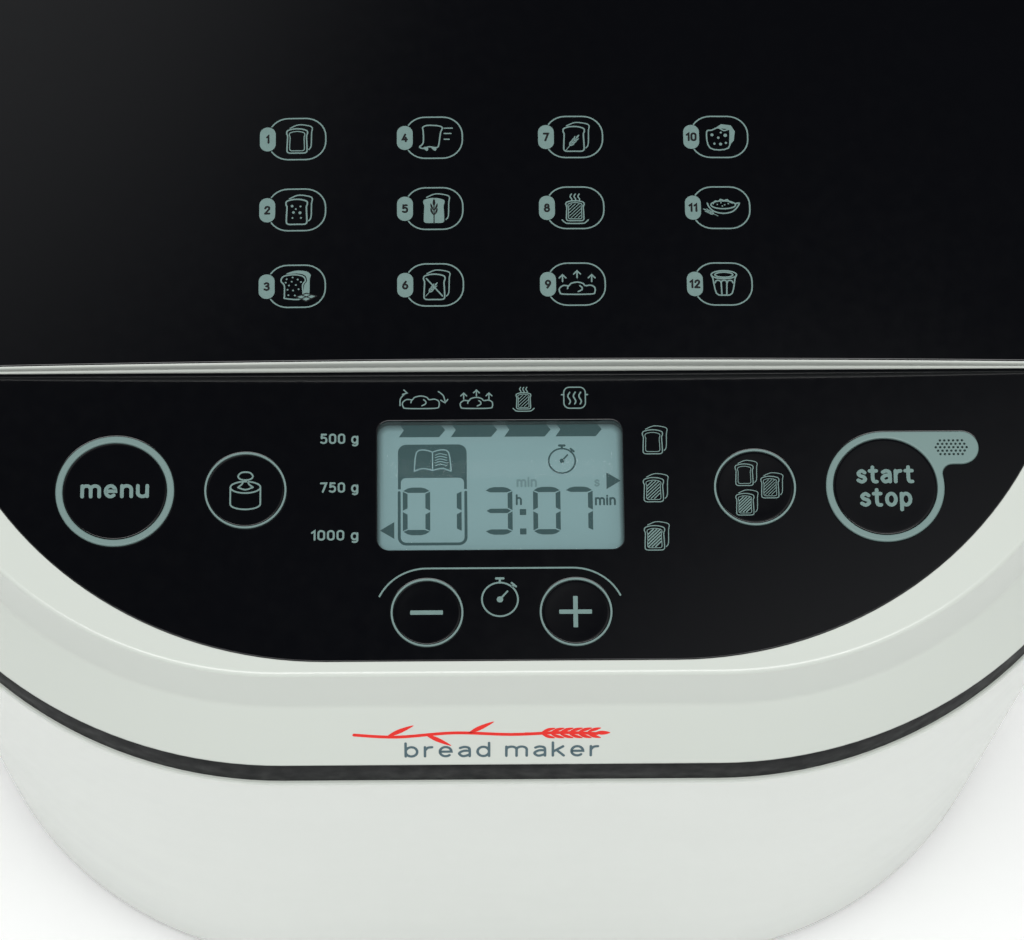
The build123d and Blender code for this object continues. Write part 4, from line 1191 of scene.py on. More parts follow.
    def weight(self, x: float, y: float, size: float, line: float) -> None:
        """A scale weight with a knob."""
        w, r = 3.15 * size, 1.0 * size
        self.ink.stroke(oval(x, y + 0.9 * size, w, r * 1.3, 40), line, Finish.INK, True)
        side = [(-w, 0.9 * size), (-w, -2.9 * size)]
        base = [(w * math.cos(a), -2.9 * size + 1.2 * r * math.sin(a))
                for a in (math.pi + math.pi * i / 20 for i in range(21))]
        self.ink.stroke([(x + px, y + py) for px, py in side + base + [(w, 0.9 * size)]], line)
        foot = smooth([(-1.6, 0.9), (-0.75, 1.6), (-0.45, 2.5)], steps=4)
        self.ink.stroke(placed(foot, x, y, size), line)
        self.ink.stroke(placed([(-px, py) for px, py in foot], x, y, size), line)
        self.ink.stroke(placed(smooth([(-1.6, 0.9), (0, 0.35), (1.6, 0.9)]), x, y, size), line)
        knob = smooth([(0, 2.55), (1.1, 2.75), (1.55, 3.4), (1.0, 4.15), (0, 4.35), (-1.0, 4.15),
                       (-1.55, 3.4), (-1.1, 2.75)], True, 4)
        self.ink.stroke(placed(knob, x, y, size), line, Finish.INK, True)

    def pot(self, x: float, y: float, size: float, line: float) -> None:
        """A lidded pot with steam in it."""
        body = rounded(0, 0, 4.9, 5.2, 1.3, 5)
        self.ink.stroke(placed(body, x, y, size), line, Finish.INK, True)
        for side in (-1, 1):
            self.ink.stroke([(x + side * 2.45 * size, y + 0.75 * size),
                             (x + side * 2.95 * size, y + 0.75 * size)], line * 1.2)
        self.steam(x, y - 0.1 * size, 2.9 * size, 1.25 * size, line * 1.15)

    def loaf(self, x: float, y: float, size: float, line: float) -> None:
        """A seeded mushroom loaf with a bar of chocolate."""
        cap = smooth([(-1.9, -2.9), (1.6, -2.9), (1.75, 0.2), (2.35, 1.3), (1.9, 2.3), (0.5, 2.7),
                      (-1.0, 2.7), (-2.5, 2.3), (-2.9, 1.2), (-2.2, 0.2), (-2.15, -2.3)], True, 4)
        back = smooth([(-1.9, 2.9), (0.2, 3.7), (2.6, 3.5), (3.5, 2.6), (3.3, 1.6), (3.2, -1.9),
                       (2.1, -1.9), (2.1, 0.2), (2.7, 1.3), (2.2, 2.6), (0.5, 3.05)], True, 4)
        self.ink.fill(placed(back, x - 0.4 * size, y, size))
        self.ink.stroke(placed(cap, x - 0.4 * size, y, size), line, Finish.INK, True)
        for px, py in ((-1.7, 1.7), (-0.6, 1.1), (0.7, 1.6), (-1.9, 0.9), (1.4, 1.0), (-0.4, 2.1),
                       (-1.2, 0.2), (0.3, 0.3), (-1.5, -0.8), (-0.3, -1.0), (0.9, -0.7),
                       (-1.3, -2.1), (0.1, -2.2)):
            self.ink.fill(circle(x + (px - 0.4) * size, y + py * size, 0.2 * size, 8))
        bar = [(0.4, -2.5), (2.6, -1.7), (4.8, -2.4), (2.5, -3.6)]
        self.ink.fill(placed(bar, x - 0.4 * size, y, size))
        self.ink.stroke(placed(bar, x - 0.4 * size, y, size), line * 0.8, Finish.INK_DARK, True)
        for cut in ([(1.5, -2.1), (3.65, -3.0)], [(1.45, -3.05), (3.7, -2.05)]):
            self.ink.stroke(placed(cut, x - 0.4 * size, y, size), line * 0.7, Finish.INK_DARK)

    def jar(self, x: float, y: float, size: float, line: float) -> None:
        """A ribbed jam jar."""
        for rx, ry in ((2.75, 0.95), (1.95, 0.6)):
            self.ink.stroke(oval(x, y + 2.0 * size, rx * size, ry * size), line, Finish.INK, True)
        glass = smooth([(-2.7, 1.75), (-2.4, 1.1), (-1.7, -2.4), (0, -2.85), (1.7, -2.4),
                        (2.4, 1.1), (2.7, 1.75)], steps=3)
        self.ink.stroke(placed(glass, x, y, size), line)
        for px in (-0.62, 0.62):
            self.ink.stroke(placed([(px, 0.2), (px * 0.85, -2.6)], x, y, size), line)
        for px in (-1.3, 0.0, 1.3):
            arch = smooth([(px - 0.62, 0.1), (px - 0.35, 0.6), (px + 0.35, 0.6), (px + 0.62, 0.1)])
            self.ink.stroke(placed(arch, x, y, size), line)

    def bowl(self, x: float, y: float, size: float, line: float) -> None:
        """A bowl of porridge with an ear beside it."""
        self.ink.stroke(oval(x + 0.3 * size, y + 0.9 * size, 2.7 * size, 0.95 * size), line,
                        Finish.INK, True)
        side = smooth([(-3.2, 1.3), (-2.7, 0.2), (-1.6, -0.75), (0.3, -1.15), (2.2, -0.75),
                       (3.3, 0.3), (3.8, 1.3), (3.0, 1.2)], steps=4)
        self.ink.stroke(placed(side, x, y, size), line)
        lumps = smooth([(-1.9, 1.1), (-1.5, 1.8), (-0.7, 1.75), (-0.3, 2.2), (0.5, 1.95),
                        (1.2, 2.15), (1.7, 1.6), (2.3, 1.3)], steps=4)
        self.ink.stroke(placed(lumps, x, y, size), line * 0.8)
        for px, py in ((-1.0, 1.0), (-0.2, 1.4), (0.6, 0.9), (1.4, 1.2), (0.1, 0.6)):
            self.ink.fill(circle(x + px * size, y + py * size, 0.16 * size, 8))
        self.ear(x - 1.7 * size, y - 1.35 * size, 0.95 * size, 62, Finish.INK)

    def cake(self, x: float, y: float, size: float, line: float) -> None:
        """A block of cake with holes."""
        back = [(2.0, -2.2), (3.1, -0.9), (3.4, 1.4), (2.5, 2.9), (0.3, 3.2), (-0.9, 2.3),
                (2.2, 1.9)]
        self.ink.fill(placed(back, x, y, size))
        front = smooth([(-2.3, -2.8), (1.8, -2.8), (2.3, 0.9), (2.1, 1.9), (0.9, 1.6),
                        (-0.4, 2.3), (-1.8, 1.7), (-3.0, 1.2)], True, 4)
        self.ink.stroke(placed(front, x, y, size), line, Finish.INK, True)
        for px, py, r in ((-1.8, 0.5, 0.36), (-0.4, -0.2, 0.3), (1.2, 0.4, 0.42), (0.2, 1.1, 0.24),
                          (-1.3, -1.7, 0.27), (0.1, -1.8, 0.36), (1.3, -1.5, 0.28)):
            self.ink.fill(circle(x + px * size, y + py * size, r * size, 12))

    def slanted(self, x: float, y: float, size: float, line: float) -> None:
        """A running slice with speed lines."""
        body = smooth([(-2.7, -2.2), (-1.9, -1.2), (-1.9, 1.6), (-2.0, 2.5), (-1.0, 3.0),
                       (1.3, 2.9), (2.3, 2.4), (1.9, 1.2), (1.5, -1.7), (1.0, -2.4), (-0.6, -2.2),
                       (-1.9, -2.6)], True, 4)
        self.ink.stroke(placed(body, x - 0.6 * size, y, size), line, Finish.INK, True)
        for px in (-1.9, -0.1):
            foot = smooth([(px, -2.5), (px + 0.8, -3.2), (px + 1.1, -2.6), (px + 0.5, -2.2)],
                          True, 4)
            self.ink.fill(placed(foot, x - 0.6 * size, y, size))
        for py, reach in ((2.3, 3.9), (1.0, 3.6), (-0.4, 3.2)):
            self.ink.stroke(placed([(2.1, py), (reach, py)], x, y, size), line * 0.9)

    def book(self, x: float, y: float, finish: Finish) -> None:
        """An open book."""
        left = smooth([(-3.9, -2.3), (-3.4, 2.0), (-1.7, 2.6), (0, 2.1)], steps=3)
        self.ink.stroke(placed(left, x, y), 0.26, finish)
        right = [(-px, py) for px, py in left]
        self.ink.stroke(placed(right, x, y), 0.26, finish)
        for side in (-1, 1):
            page = smooth([(side * 3.9, -2.3), (side * 2.0, -1.6), (0, -2.1)], steps=4)
            self.ink.stroke(placed(page, x, y), 0.26, finish)
        self.ink.stroke([(x, y + 2.1), (x, y - 2.0)], 0.26, finish)
        for k in range(5):
            row = smooth([(0.6, 1.4 - 0.6 * k), (1.6, 1.75 - 0.6 * k), (3.0, 1.4 - 0.6 * k)])
            self.ink.stroke(placed(row, x, y), 0.18, finish)

    def digit(self, value: str, x: float, y: float, width: float, height: float,
              finish: Finish) -> None:
        """One seven-segment digit from its lower left corner."""
        lit = {"0": "abcdef", "1": "bc", "3": "abcdg", "7": "abc"}[value]
        t, w, h = 1.0, width, height
        m = h / 2
        shapes = {
            "a": [(0.12, h - 0.78), (1.0, h - 0.22), (1.9, h), (w - 1.9, h), (w - 1.0, h - 0.22),
                  (w - 0.12, h - 0.78), (w - 1.15, h - 1.2), (1.15, h - 1.2)],
            "g": [(0.3, m), (1.1, m + 0.5), (w - 1.1, m + 0.5), (w - 0.3, m), (w - 1.1, m - 0.5),
                  (1.1, m - 0.5)],
            "b": [(w, h - 0.95), (w, m + 0.15), (w - t, m + 0.7), (w - t, h - 1.45)],
        }
        shapes["d"] = [(px, h - py) for px, py in reversed(shapes["a"])]
        shapes["c"] = [(px, h - py) for px, py in reversed(shapes["b"])]
        shapes["f"] = [(w - px, py) for px, py in reversed(shapes["b"])]
        shapes["e"] = [(w - px, h - py) for px, py in shapes["b"]]
        for name in lit:
            self.ink.fill(placed(shapes[name], x, y), finish)


# ---- Housing -------------------------------------------------------------------------------
@dataclass
class Sizes:
    """The outlines that several pieces share, read from the frame's boxes."""

    seam: Outline
    base: Outline
    rim_inset: float
    crease_inset: float
    panel: Outline
    lid: Outline
    deck: float
    band_top: float
    band_bottom: float
    lid_line: float
    lid_top: float
    crown: float

    @classmethod
    def read(cls) -> Sizes:
        """Works the outlines out from the frame's boxes."""
        upper, panel, band = (Box.of(node) for node in ("upper_housing", "control_panel", "seam_band"))
        front_corner, back_corner, taper, gap = 95.0, 75.0, 6.4, 0.1
        face_corner, lid_back_corner, lid_back = 84.8, 62.0, 134.0
        seam = Outline(upper.high.x, upper.low.y, upper.high.y, front_corner, back_corner)
        base = Outline(seam.half_width - taper, seam.front + 37.5, seam.back - 4.0,
                       front_corner - taper, back_corner - taper)
        half = panel.high.x + gap
        face = Outline(half, panel.low.y - gap, -panel.low.y + gap, face_corner, lid_back_corner)
        lid = Outline(half, face.front, lid_back, face_corner, lid_back_corner)
        return cls(seam=seam, base=base, rim_inset=10.65, crease_inset=8.65, panel=face, lid=lid,
                   deck=upper.high.z, band_top=band.high.z, band_bottom=band.low.z,
                   lid_line=-76.15, lid_top=Box.of("lid_plate").high.z, crown=2757.25)

    def drop(self, x: float) -> float:
        """How far the lid's crown has fallen at a distance from the middle."""
        return self.crown - math.sqrt(self.crown ** 2 - x ** 2)


@dataclass
class Housing:
    """The white shells, the black seam band, the base and the rear fittings."""

    sizes: Sizes
    wall: float = 2.5
    crease_rise: float = 13.2
    opening_width: float = 190.0
    opening_depth: float = 165.0
    vent_count: int = 9
    vent_pitch: float = 9.0
    body: str = "housing"

    def build(self) -> None:
        """Makes every housing piece."""
        self.upper_shell()
        self.lower_shell()
        self.band()
        self.badge()
        for node, finish in (("base_plate", Finish.GREY_PLASTIC), ("feet", Finish.RUBBER),
                             ("cord_gland", Finish.RUBBER)):
            dress(node, finish, 0.4)

    def upper_shell(self) -> None:
        """Makes the flared upper shell with its recess for the panel."""
        s = self.sizes
        z0, deck = s.band_top, s.deck
        run, fall, wall = s.crease_inset, self.crease_rise, self.wall
        crease_z = z0 + fall
        along = Vector((run, fall)).normalized()
        profile = [(s.rim_inset + wall + 1, deck - 5), (s.rim_inset + wall, deck - 5),
                   (run + wall, crease_z - 1.5), (wall, z0 + 0.1), (wall - 0.2, z0), (0.4, z0),
                   (0.12, z0 + 0.12), (0.0 + along.x * 0.5, z0 + along.y * 0.5),
                   (along.x * 1.5, z0 + along.y * 1.5), (run * 0.5, z0 + fall * 0.5),
                   (run - along.x * 1.6, crease_z - along.y * 1.6),
                   (run - along.x * 0.8, crease_z - along.y * 0.8),
                   (run - 0.06, crease_z - 0.18), (run + 0.10, crease_z + 0.75),
                   (run + 0.26, crease_z + 1.6), (run + 1.0, crease_z + 6.2)]
        inset = s.rim_inset
        profile.append((inset - 0.04, deck - 1.2))
        profile += [(inset + 0.9 * (1 - math.cos(a)), deck - 0.9 * (1 - math.sin(a)))
                    for a in (math.pi / 2 * i / 5 for i in range(6))]
        profile.append((inset + 1.1, deck))
        recess = s.panel.cut(s.lid_line + 6.0, True)
        ledge = 2.0
        recess_side = [(-ledge, deck - 5), (-ledge, deck - 2.42), (0.0, deck - 2.4),
                       (0.0, deck - 0.25), (0.07, deck - 0.07), (0.25, deck), (0.4, deck)]
        opening = rounded(0, Box.of("chamber_liner").middle.y, self.opening_width,
                          self.opening_depth, 22.0, 10)
        opening_side = [(0.0, deck - 5), (0.0, deck - 0.5), (0.15, deck - 0.15), (0.5, deck),
                        (0.65, deck)]
        shape = Shape().plate(s.seam.loop(), profile, [(recess, recess_side),
                                                       (opening, opening_side)])
        add_piece("white_upper_shell", shape.mesh("white_upper_shell"), Finish.WHITE_SHELL,
                  self.body, ("upper_housing",))

    def lower_shell(self) -> None:
        """Makes the lower shell with its rear vents and the hole for the cord gland."""
        s, wall = self.sizes, self.wall
        low, high = Box.of("lower_body").low.z, s.band_bottom
        span = high - low

        def level(z: float, inset: float) -> Loop:
            """The shell's outline at a height, taken in."""
            t = (z - low) / span
            mix = [a + t * (b - a) for a, b in zip(
                (s.base.half_width, s.base.front, s.base.back, s.base.front_corner,
                 s.base.back_corner),
                (s.seam.half_width, s.seam.front, s.seam.back, s.seam.front_corner,
                 s.seam.back_corner))]
            return Outline(*mix).loop(inset)

        rows = [(level(z, wall), z) for z in (high, low + 20, low + 5.5)]
        rows += [(level(low + 5.5, wall + 9), low + 3.2), (level(low, wall + 9), low + 3.0),
                 (level(low, wall), low + 3.0), (level(low, wall), low + 0.1),
                 (level(low, wall - 0.2), low), (level(low, 1.4), low),
                 (level(low + 0.4, 0.6), low + 0.4), (level(low + 1.2, 0.15), low + 1.2)]
        rows += [(level(low + z, 0), low + z) for z in (2.4, 6.0, 40, 90, 140, 190, 225)]
        rows += [(level(high - 2.5, 0), high - 2.5), (level(high - 1.0, 0.0), high - 1.0),
                 (level(high - 0.35, 0.1), high - 0.35), (level(high, 0.4), high),
                 (level(high, wall - 0.3), high)]
        mesh = Shape().skin(rows, True).mesh("white_lower_shell")
        slot = Shape().plate(rounded(0, 0, 4.0, 46.0, 1.98, 5), [(0, -16), (0, 16)]).mesh(
            "vent_slot", Matrix.Rotation(math.pi / 2, 4, "X"))
        first = -self.vent_pitch * (self.vent_count - 1) / 2
        vents = Repeater(Layout.ROW).make(
            "vents", slot, Finish.WHITE_SHELL, Count=self.vent_count,
            Start=Vector((first, s.seam.back, 93.0)) * MM,
            Step=Vector((self.vent_pitch, 0.0, 0.0)) * MM)
        gland = Box.of("cord_gland")
        hole = Shape().plate(circle(0, 0, 6.1, 40), [(0, -16), (0, 16)])
        hole.bm.transform(Matrix.Translation((gland.middle.x, s.seam.back, gland.middle.z))
                          @ Matrix.Rotation(math.pi / 2, 4, "X"))
        cut = cut_out(mesh, [vents, hole.mesh("gland_hole")])
        add_piece("white_lower_shell", cut, Finish.WHITE_SHELL, self.body,
                  ("lower_body",))

    def band(self) -> None:
        """Makes the black seam band."""
        s = self.sizes
        low, high = s.band_bottom, s.band_top
        rows = [(s.seam.loop(4.0), low), (s.seam.loop(0.9), low), (s.seam.loop(0.8), low + 0.4),
                (s.seam.loop(0.8), (low + high) / 2), (s.seam.loop(0.8), high - 0.4),
                (s.seam.loop(0.9), high), (s.seam.loop(4.0), high)]
        add_piece("black_seam_band", Shape().skin(rows, True).mesh("black_seam_band"), Finish.SEAM,
                  self.body, ("seam_band",))

    def badge(self) -> None:
        """Prints a plain wheat stalk and the kind of machine on the shoulder."""
        s = self.sizes
        up = Vector((0, s.crease_inset, self.crease_rise)).normalized()
        out = Vector((0, -up.z, up.y))
        foot = Vector((0, s.seam.front, s.band_top))
        matrix = Matrix(((1, 0, 0, 0), (0, up.y, out.y, foot.y), (0, up.z, out.z, foot.z),
                         (0, 0, 0, 1)))
        ink = Ink(lambda x, y: 0.0)
        art = Artwork(ink)
        stem = smooth([(-31, 8.2), (-22, 7.6), (-10, 8.6), (2, 8.1), (12, 8.5), (20, 8.2)], steps=6)
        ink.stroke(stem, 0.75, Finish.INK_RED)
        art.ear(8.0, 8.4, 3.1, -90, Finish.INK_RED, 6)
        for x, y, turn in ((-24.0, 7.8, -62), (-16.0, 8.2, -118), (-7.0, 8.5, -60)):
            leaf = smooth([(0, 0), (0.55, 2.6), (0.1, 6.2), (-0.5, 2.6)], True, 5)
            ink.fill(placed(leaf, x, y, 1.0, turn), Finish.INK_RED)
        ink.text("bread maker", 0.0, 4.2, 41.0, 4.0, Finish.INK_SLATE, 0.55)
        ink.finish("shoulder_print", self.body, "grey_trim", matrix)


def cut_out(mesh: bpy.types.Mesh, tools: Sequence[bpy.types.Mesh]) -> bpy.types.Mesh:
    """A mesh less some others, with its sharp edges kept sharp."""
    target = shown("target", mesh)
    holders = [shown("tool", tool) for tool in tools]
    for holder in holders:
        modifier = target.modifiers.new("cut", "BOOLEAN")
        modifier.operation, modifier.solver, modifier.object = "DIFFERENCE", "EXACT", holder
    result = evaluated(target)
    for thing in [target, *holders]:
        bpy.data.objects.remove(thing)
    result.materials.clear()
    result.set_sharp_from_angle(angle=math.radians(35))
    return result


# ---- Control panel -------------------------------------------------------------------------
@dataclass(frozen=True)
class Button:
    """A round button: its node, its middle, the radius of its hole and its ring's width."""

    node: str
    x: float
    y: float
    radius: float
    ring: float


@dataclass
class ControlPanel:
    """The black panel, its rings, its speaker grille and its print."""

    sizes: Sizes
    buttons: list[Button] = field(default_factory=list)
    body: str = "housing"

    def __post_init__(self) -> None:
        """Finds the buttons in the frame."""
        for node, ring in (("menu_button", 1.5), ("start_button", 1.5), ("weight_button", 0.42),
                           ("colour_button", 0.42), ("minus_button", 0.42),
                           ("plus_button", 0.42)):
            box = Box.of(node)
            radius = box.width / 2 - 1.2
            self.buttons.append(Button(node, box.middle.x, box.middle.y, radius, ring))

    def build(self) -> None:
        """Makes every piece of the panel."""
        self.plate()
        self.rings()
        self.print()

    def start_outline(self, grow: float = 0.0) -> Loop:
        """The start button's ring with its speaker tab, anticlockwise."""
        start = self.buttons[1]
        r = start.radius + start.ring + grow
        tip, half = start.x + 20.0 + grow, 3.7 + grow
        mid = start.y + start.radius + start.ring - 3.7
        lower = mid - half
        drop = start.y - lower
        bend = 2.2 - grow
        angle = math.asin((lower - bend - start.y) / (r + bend))
        centre = (start.x + (r + bend) * math.cos(angle), lower - bend)
        loop = arc(start.x, start.y, r, 90, 360 + math.degrees(angle), 72)
        loop += arc(centre[0], centre[1], bend, 180 + math.degrees(angle), 90, 8)[1:]
        loop += arc(tip - half, mid, half, -90, 90, 20)
        return loop

    def display_hole(self, grow: float = 0.0) -> Loop:
        """The outline of the display's opening."""
        lens = Box.of("display_lens")
        return rounded(0, lens.middle.y, lens.width + 0.2 + 2 * grow, lens.depth + 0.2 + 2 * grow,
                       2.5 + grow, 8)

    def plate(self) -> None:
        """Makes the black panel."""
        s, top, low = self.sizes, self.sizes.deck, Box.of("display_module").high.z + 0.1
        outline = s.panel.cut(s.lid_line + 6.0 - 0.1, True, 0.0, 0.1)
        gap = 0.03
        holes = []
        for b in self.buttons:
            if b.node == "start_button":
                loop = self.start_outline(gap)
            else:
                loop = circle(b.x, b.y, b.radius + b.ring + gap, 96)
            holes.append((loop, [(0, low), (0, top - 0.12), (0.1, top), (0.25, top)]))
        holes.append((self.display_hole(), [(0, low), (0, top - 0.14), (0.04, top - 0.04),
                                            (0.14, top), (0.3, top)]))
        shape = Shape().plate(outline, rim_profile(low, top, 0.1), holes)
        add_piece("black_control_panel", shape.mesh("black_control_panel"), Finish.BLACK_GLOSS,
                  self.body, ("control_panel",))

    def rings(self) -> None:
        """Makes the raised rings, the start button's with its speaker holes."""
        top = Box.of("menu_ring").high.z
        low = self.sizes.deck - 2.4
        for b in self.buttons:
            outer, width = b.radius + b.ring, b.ring
            edge = min(0.32, width * 0.25)
            hole_side = [(0, low), (0, top - edge), (edge * 0.3, top - edge * 0.3), (edge, top),
                         (edge + 0.02, top)]
            if b.node == "start_button":
                shape = Shape().plate(self.start_outline(), rim_profile(low, top, 0.32),
                                      [(circle(b.x, b.y, b.radius, 96), hole_side)])
                name, nodes = "start_ring_and_grille", ("start_ring",)
            else:
                shape = Shape().plate(circle(b.x, b.y, outer, 96),
                                      rim_profile(low, top, edge)[:-1] + [(edge + 0.02, top)],
                                      [(circle(b.x, b.y, b.radius, 96), hole_side)])
                name = b.node.replace("button", "trim_ring")
                nodes = {"menu_button": ("menu_ring",), "plus_button": ("thin_rings",)}.get(
                    b.node, ())
            mesh = shape.mesh(name)
            if b.node == "start_button":
                mesh = cut_out(mesh, [self.speaker_pins(b, low, top)])
            add_piece(name, mesh, Finish.TRIM, self.body, nodes)

    @staticmethod
    def speaker_pins(b: Button, low: float, top: float) -> bpy.types.Mesh:
        """The pins that pierce the speaker holes, in five staggered rows."""
        pin = Shape().plate(circle(0, 0, 0.29, 8), [(0, low - 1), (0, top + 1)]).mesh("pin")
        places = [((b.x + 14.2 + (k - (count - 1) / 2) * 0.93, b.y + 8.75 + row * 0.78, 0.0),
                   (0.0, 0.0, 0.0))
                  for row, count in ((-2, 6), (-1, 7), (0, 8), (1, 7), (2, 6))
                  for k in range(count)]
        return Repeater(Layout.POINTS).make("speaker_pins", pin, Finish.TRIM, places)

    def print(self) -> None:
        """Prints the panel's labels and pictures."""
        top = self.sizes.deck
        ink = Ink(lambda x, y: top)
        art = Artwork(ink)
        for words, width, y in (("500 g", 8.06, -91.4), ("750 g", 8.06, -102.5),
                                ("1000 g", 9.9, -113.3)):
            ink.text(words, -29.8 - width / 2, y, width, 2.95, pen=0.42)
        for k, y in enumerate((-91.8, -102.7, -113.6)):
            art.slices(32.4, y, 0.93, 0.22, doubled=True)
            if k:
                art.hatch(32.15, y - 0.45, 2.7, 3.9, 0.72, 0.11 + 0.09 * k)
        line = 0.26
        art.dough(-16.6, -83.0, 1.0, line)
        left = smooth([(-21.0, -83.6), (-20.9, -82.0), (-19.9, -80.8)], steps=5)
        ink.stroke(left, line)
        ink.stroke([(-20.2, -80.0), (-19.5, -80.7), (-20.5, -81.0)], line)
        right = smooth([(-12.9, -80.4), (-11.9, -81.3), (-11.5, -82.6)], steps=5)
        ink.stroke(right, line)
        ink.stroke([(-12.4, -82.4), (-11.5, -83.0), (-10.9, -82.2)], line)
        art.dough(-4.85, -83.2, 0.88, line)
        for x, y in ((-7.55, -81.5), (-4.85, -80.8), (-2.2, -81.5)):
            art.arrow(x, y, 1.0, line)
        art.toast(5.1, -82.1, 0.78, 0.22)
        art.pot(15.9, -82.0, 0.93, line)
        bracket = arc(-15.5, -131.6, 11.0, 154, 90, 14) + arc(14.9, -131.6, 11.0, 90, 26, 14)
        ink.stroke(bracket, 0.36)
        art.stopwatch(-0.3, -127.6, 3.75, 0.36, Finish.INK)
        ink.finish("panel_print", self.body, "grey_trim")


@dataclass
class Display:
    """The display face under its lens."""

    panel: ControlPanel
    body: str = "housing"

    def build(self) -> None:
        """Makes the lens, the display face with painted shade along the edge of its opening, and its
        segments.
        """
        s = self.panel.sizes
        lens = Box.of("display_lens")
        top, low = lens.high.z, lens.low.z
        corner = 2.5
        outline = rounded(0, lens.middle.y, lens.width, lens.depth, corner, 8)
        add_piece("clear_display_lens", Shape().plate(outline, rim_profile(low, top, 0.12)).mesh(
            "clear_display_lens"), Finish.LENS, self.body, ("display_lens",))
        module = Box.of("display_module")
        face = module.high.z
        # Rows of points in from the opening's edge, which carry the painted shade's gradient.
        edges = [0.0, 0.35, 0.8, 1.4, 2.1, 3.0]
        wide, deep = (outline[7][0] + 0.1) * 2, lens.depth + 0.2
        outer = rounded(0, module.middle.y, module.width, module.depth, 1.0, 8)
        shape = Shape()
        rows = [(outer, module.low.z), (outer, face - 0.2), (offset(outer, -0.2), face)]
        rows += [(rounded(0, lens.middle.y, wide - 2 * e, deep - 2 * e, max(corner - e, 0.3), 8),
                  face) for e in edges]
        shape.skin(rows)
        mesh = shape.mesh("display_module_face")
        # Painted shade: each point's share of the face colour, 0 at the opening's edge and full 0.8 mm
        # in at the front, widening to 1.4 mm towards the back edge; nearer the edge the dark edge
        # colour shows.
        share = mesh.attributes.new("inward", "FLOAT", "POINT")
        half_x, half_y = lens.width / 2, lens.depth / 2
        for v in mesh.vertices:
            x, y = abs(v.co.x / MM), abs(v.co.y / MM - lens.middle.y)
            dx, dy = max(x - half_x + corner, 0), max(y - half_y + corner, 0)
            in_corner = dx > 0 and dy > 0
            depth = corner - math.hypot(dx, dy) if in_corner else min(half_x - x, half_y - y)
            back = max(0.0, min(1.0, (v.co.y / MM - lens.middle.y) / half_y))
            share.data[v.index].value = max(0.0, min(1.0, depth / (0.8 + 0.6 * back)))
        add_piece("display_module_face", mesh, Finish.DISPLAY, self.body,
                  ("display_module",))
        self.segments(face)

    def segments(self, face: float) -> None:
        """Draws what the display shows."""
        ink = Ink(lambda x, y: face, 0.02)
        art = Artwork(ink)
        dark, faint, light = Finish.SEGMENT, Finish.GHOST, Finish.DISPLAY_MARK
        for x0, x1 in ((-21.3, -11.5), (-10.3, -0.5), (1.0, 10.8), (11.8, 21.6)):
            ink.fill([(x0, -89.8), (x1 - 1.3, -89.8), (x1, -88.2), (x1 - 1.3, -86.6),
                      (x0, -86.6), (x0 + 1.05, -88.2)], dark)
        tab = arc(-19.7, -93.3, 1.8, 180, 90, 6) + arc(-8.8, -93.3, 1.8, 90, 0, 6)
        inner = arc(-8.7, -100.2, 1.1, 0, 90, 5) + arc(-19.8, -100.2, 1.1, 90, 180, 5)
        ink.fill(list(reversed(tab + [(-7.0, -101.7), (-7.6, -101.7)] + inner
                               + [(-20.9, -101.7), (-21.5, -101.7)])), dark)
        art.book(-14.2, -95.35, light)
        frame = ([(-21.25, -102.4)] + arc(-19.75, -112.6, 1.5, 180, 270, 6)
                 + arc(-8.75, -112.6, 1.5, 270, 360, 6) + [(-7.25, -102.4)])
        ink.stroke(frame, 0.62, dark)
        for value, x in (("0", -20.5), ("1", -13.9), ("3", -3.2), ("0", 6.9), ("7", 13.7)):
            art.digit(value, x, -112.1, 5.75, 10.8, dark)
        for y in (-107.0, -111.4):
            ink.fill(rounded(4.75, y, 1.35, 1.35, 0.1, 2), dark)
        ink.text("h", 3.9, -104.2, 1.3, 2.5, dark, 0.42)
        ink.text("min", 22.1, -104.4, 4.4, 2.4, dark, 0.42)
        ink.text("min", 5.6, -100.2, 4.3, 2.3, faint, 0.42)
        ink.text("s", 20.4, -100.5, 1.15, 1.7, faint, 0.38)
        art.stopwatch(13.1, -95.4, 2.8, 0.36, dark)
        ink.fill([(22.4, -101.9), (25.4, -100.0), (22.4, -98.1)], dark)
        ink.fill([(-22.3, -112.9), (-22.3, -109.1), (-25.3, -111.0)], dark)
        ink.finish("display_segments", self.body, "display_face")


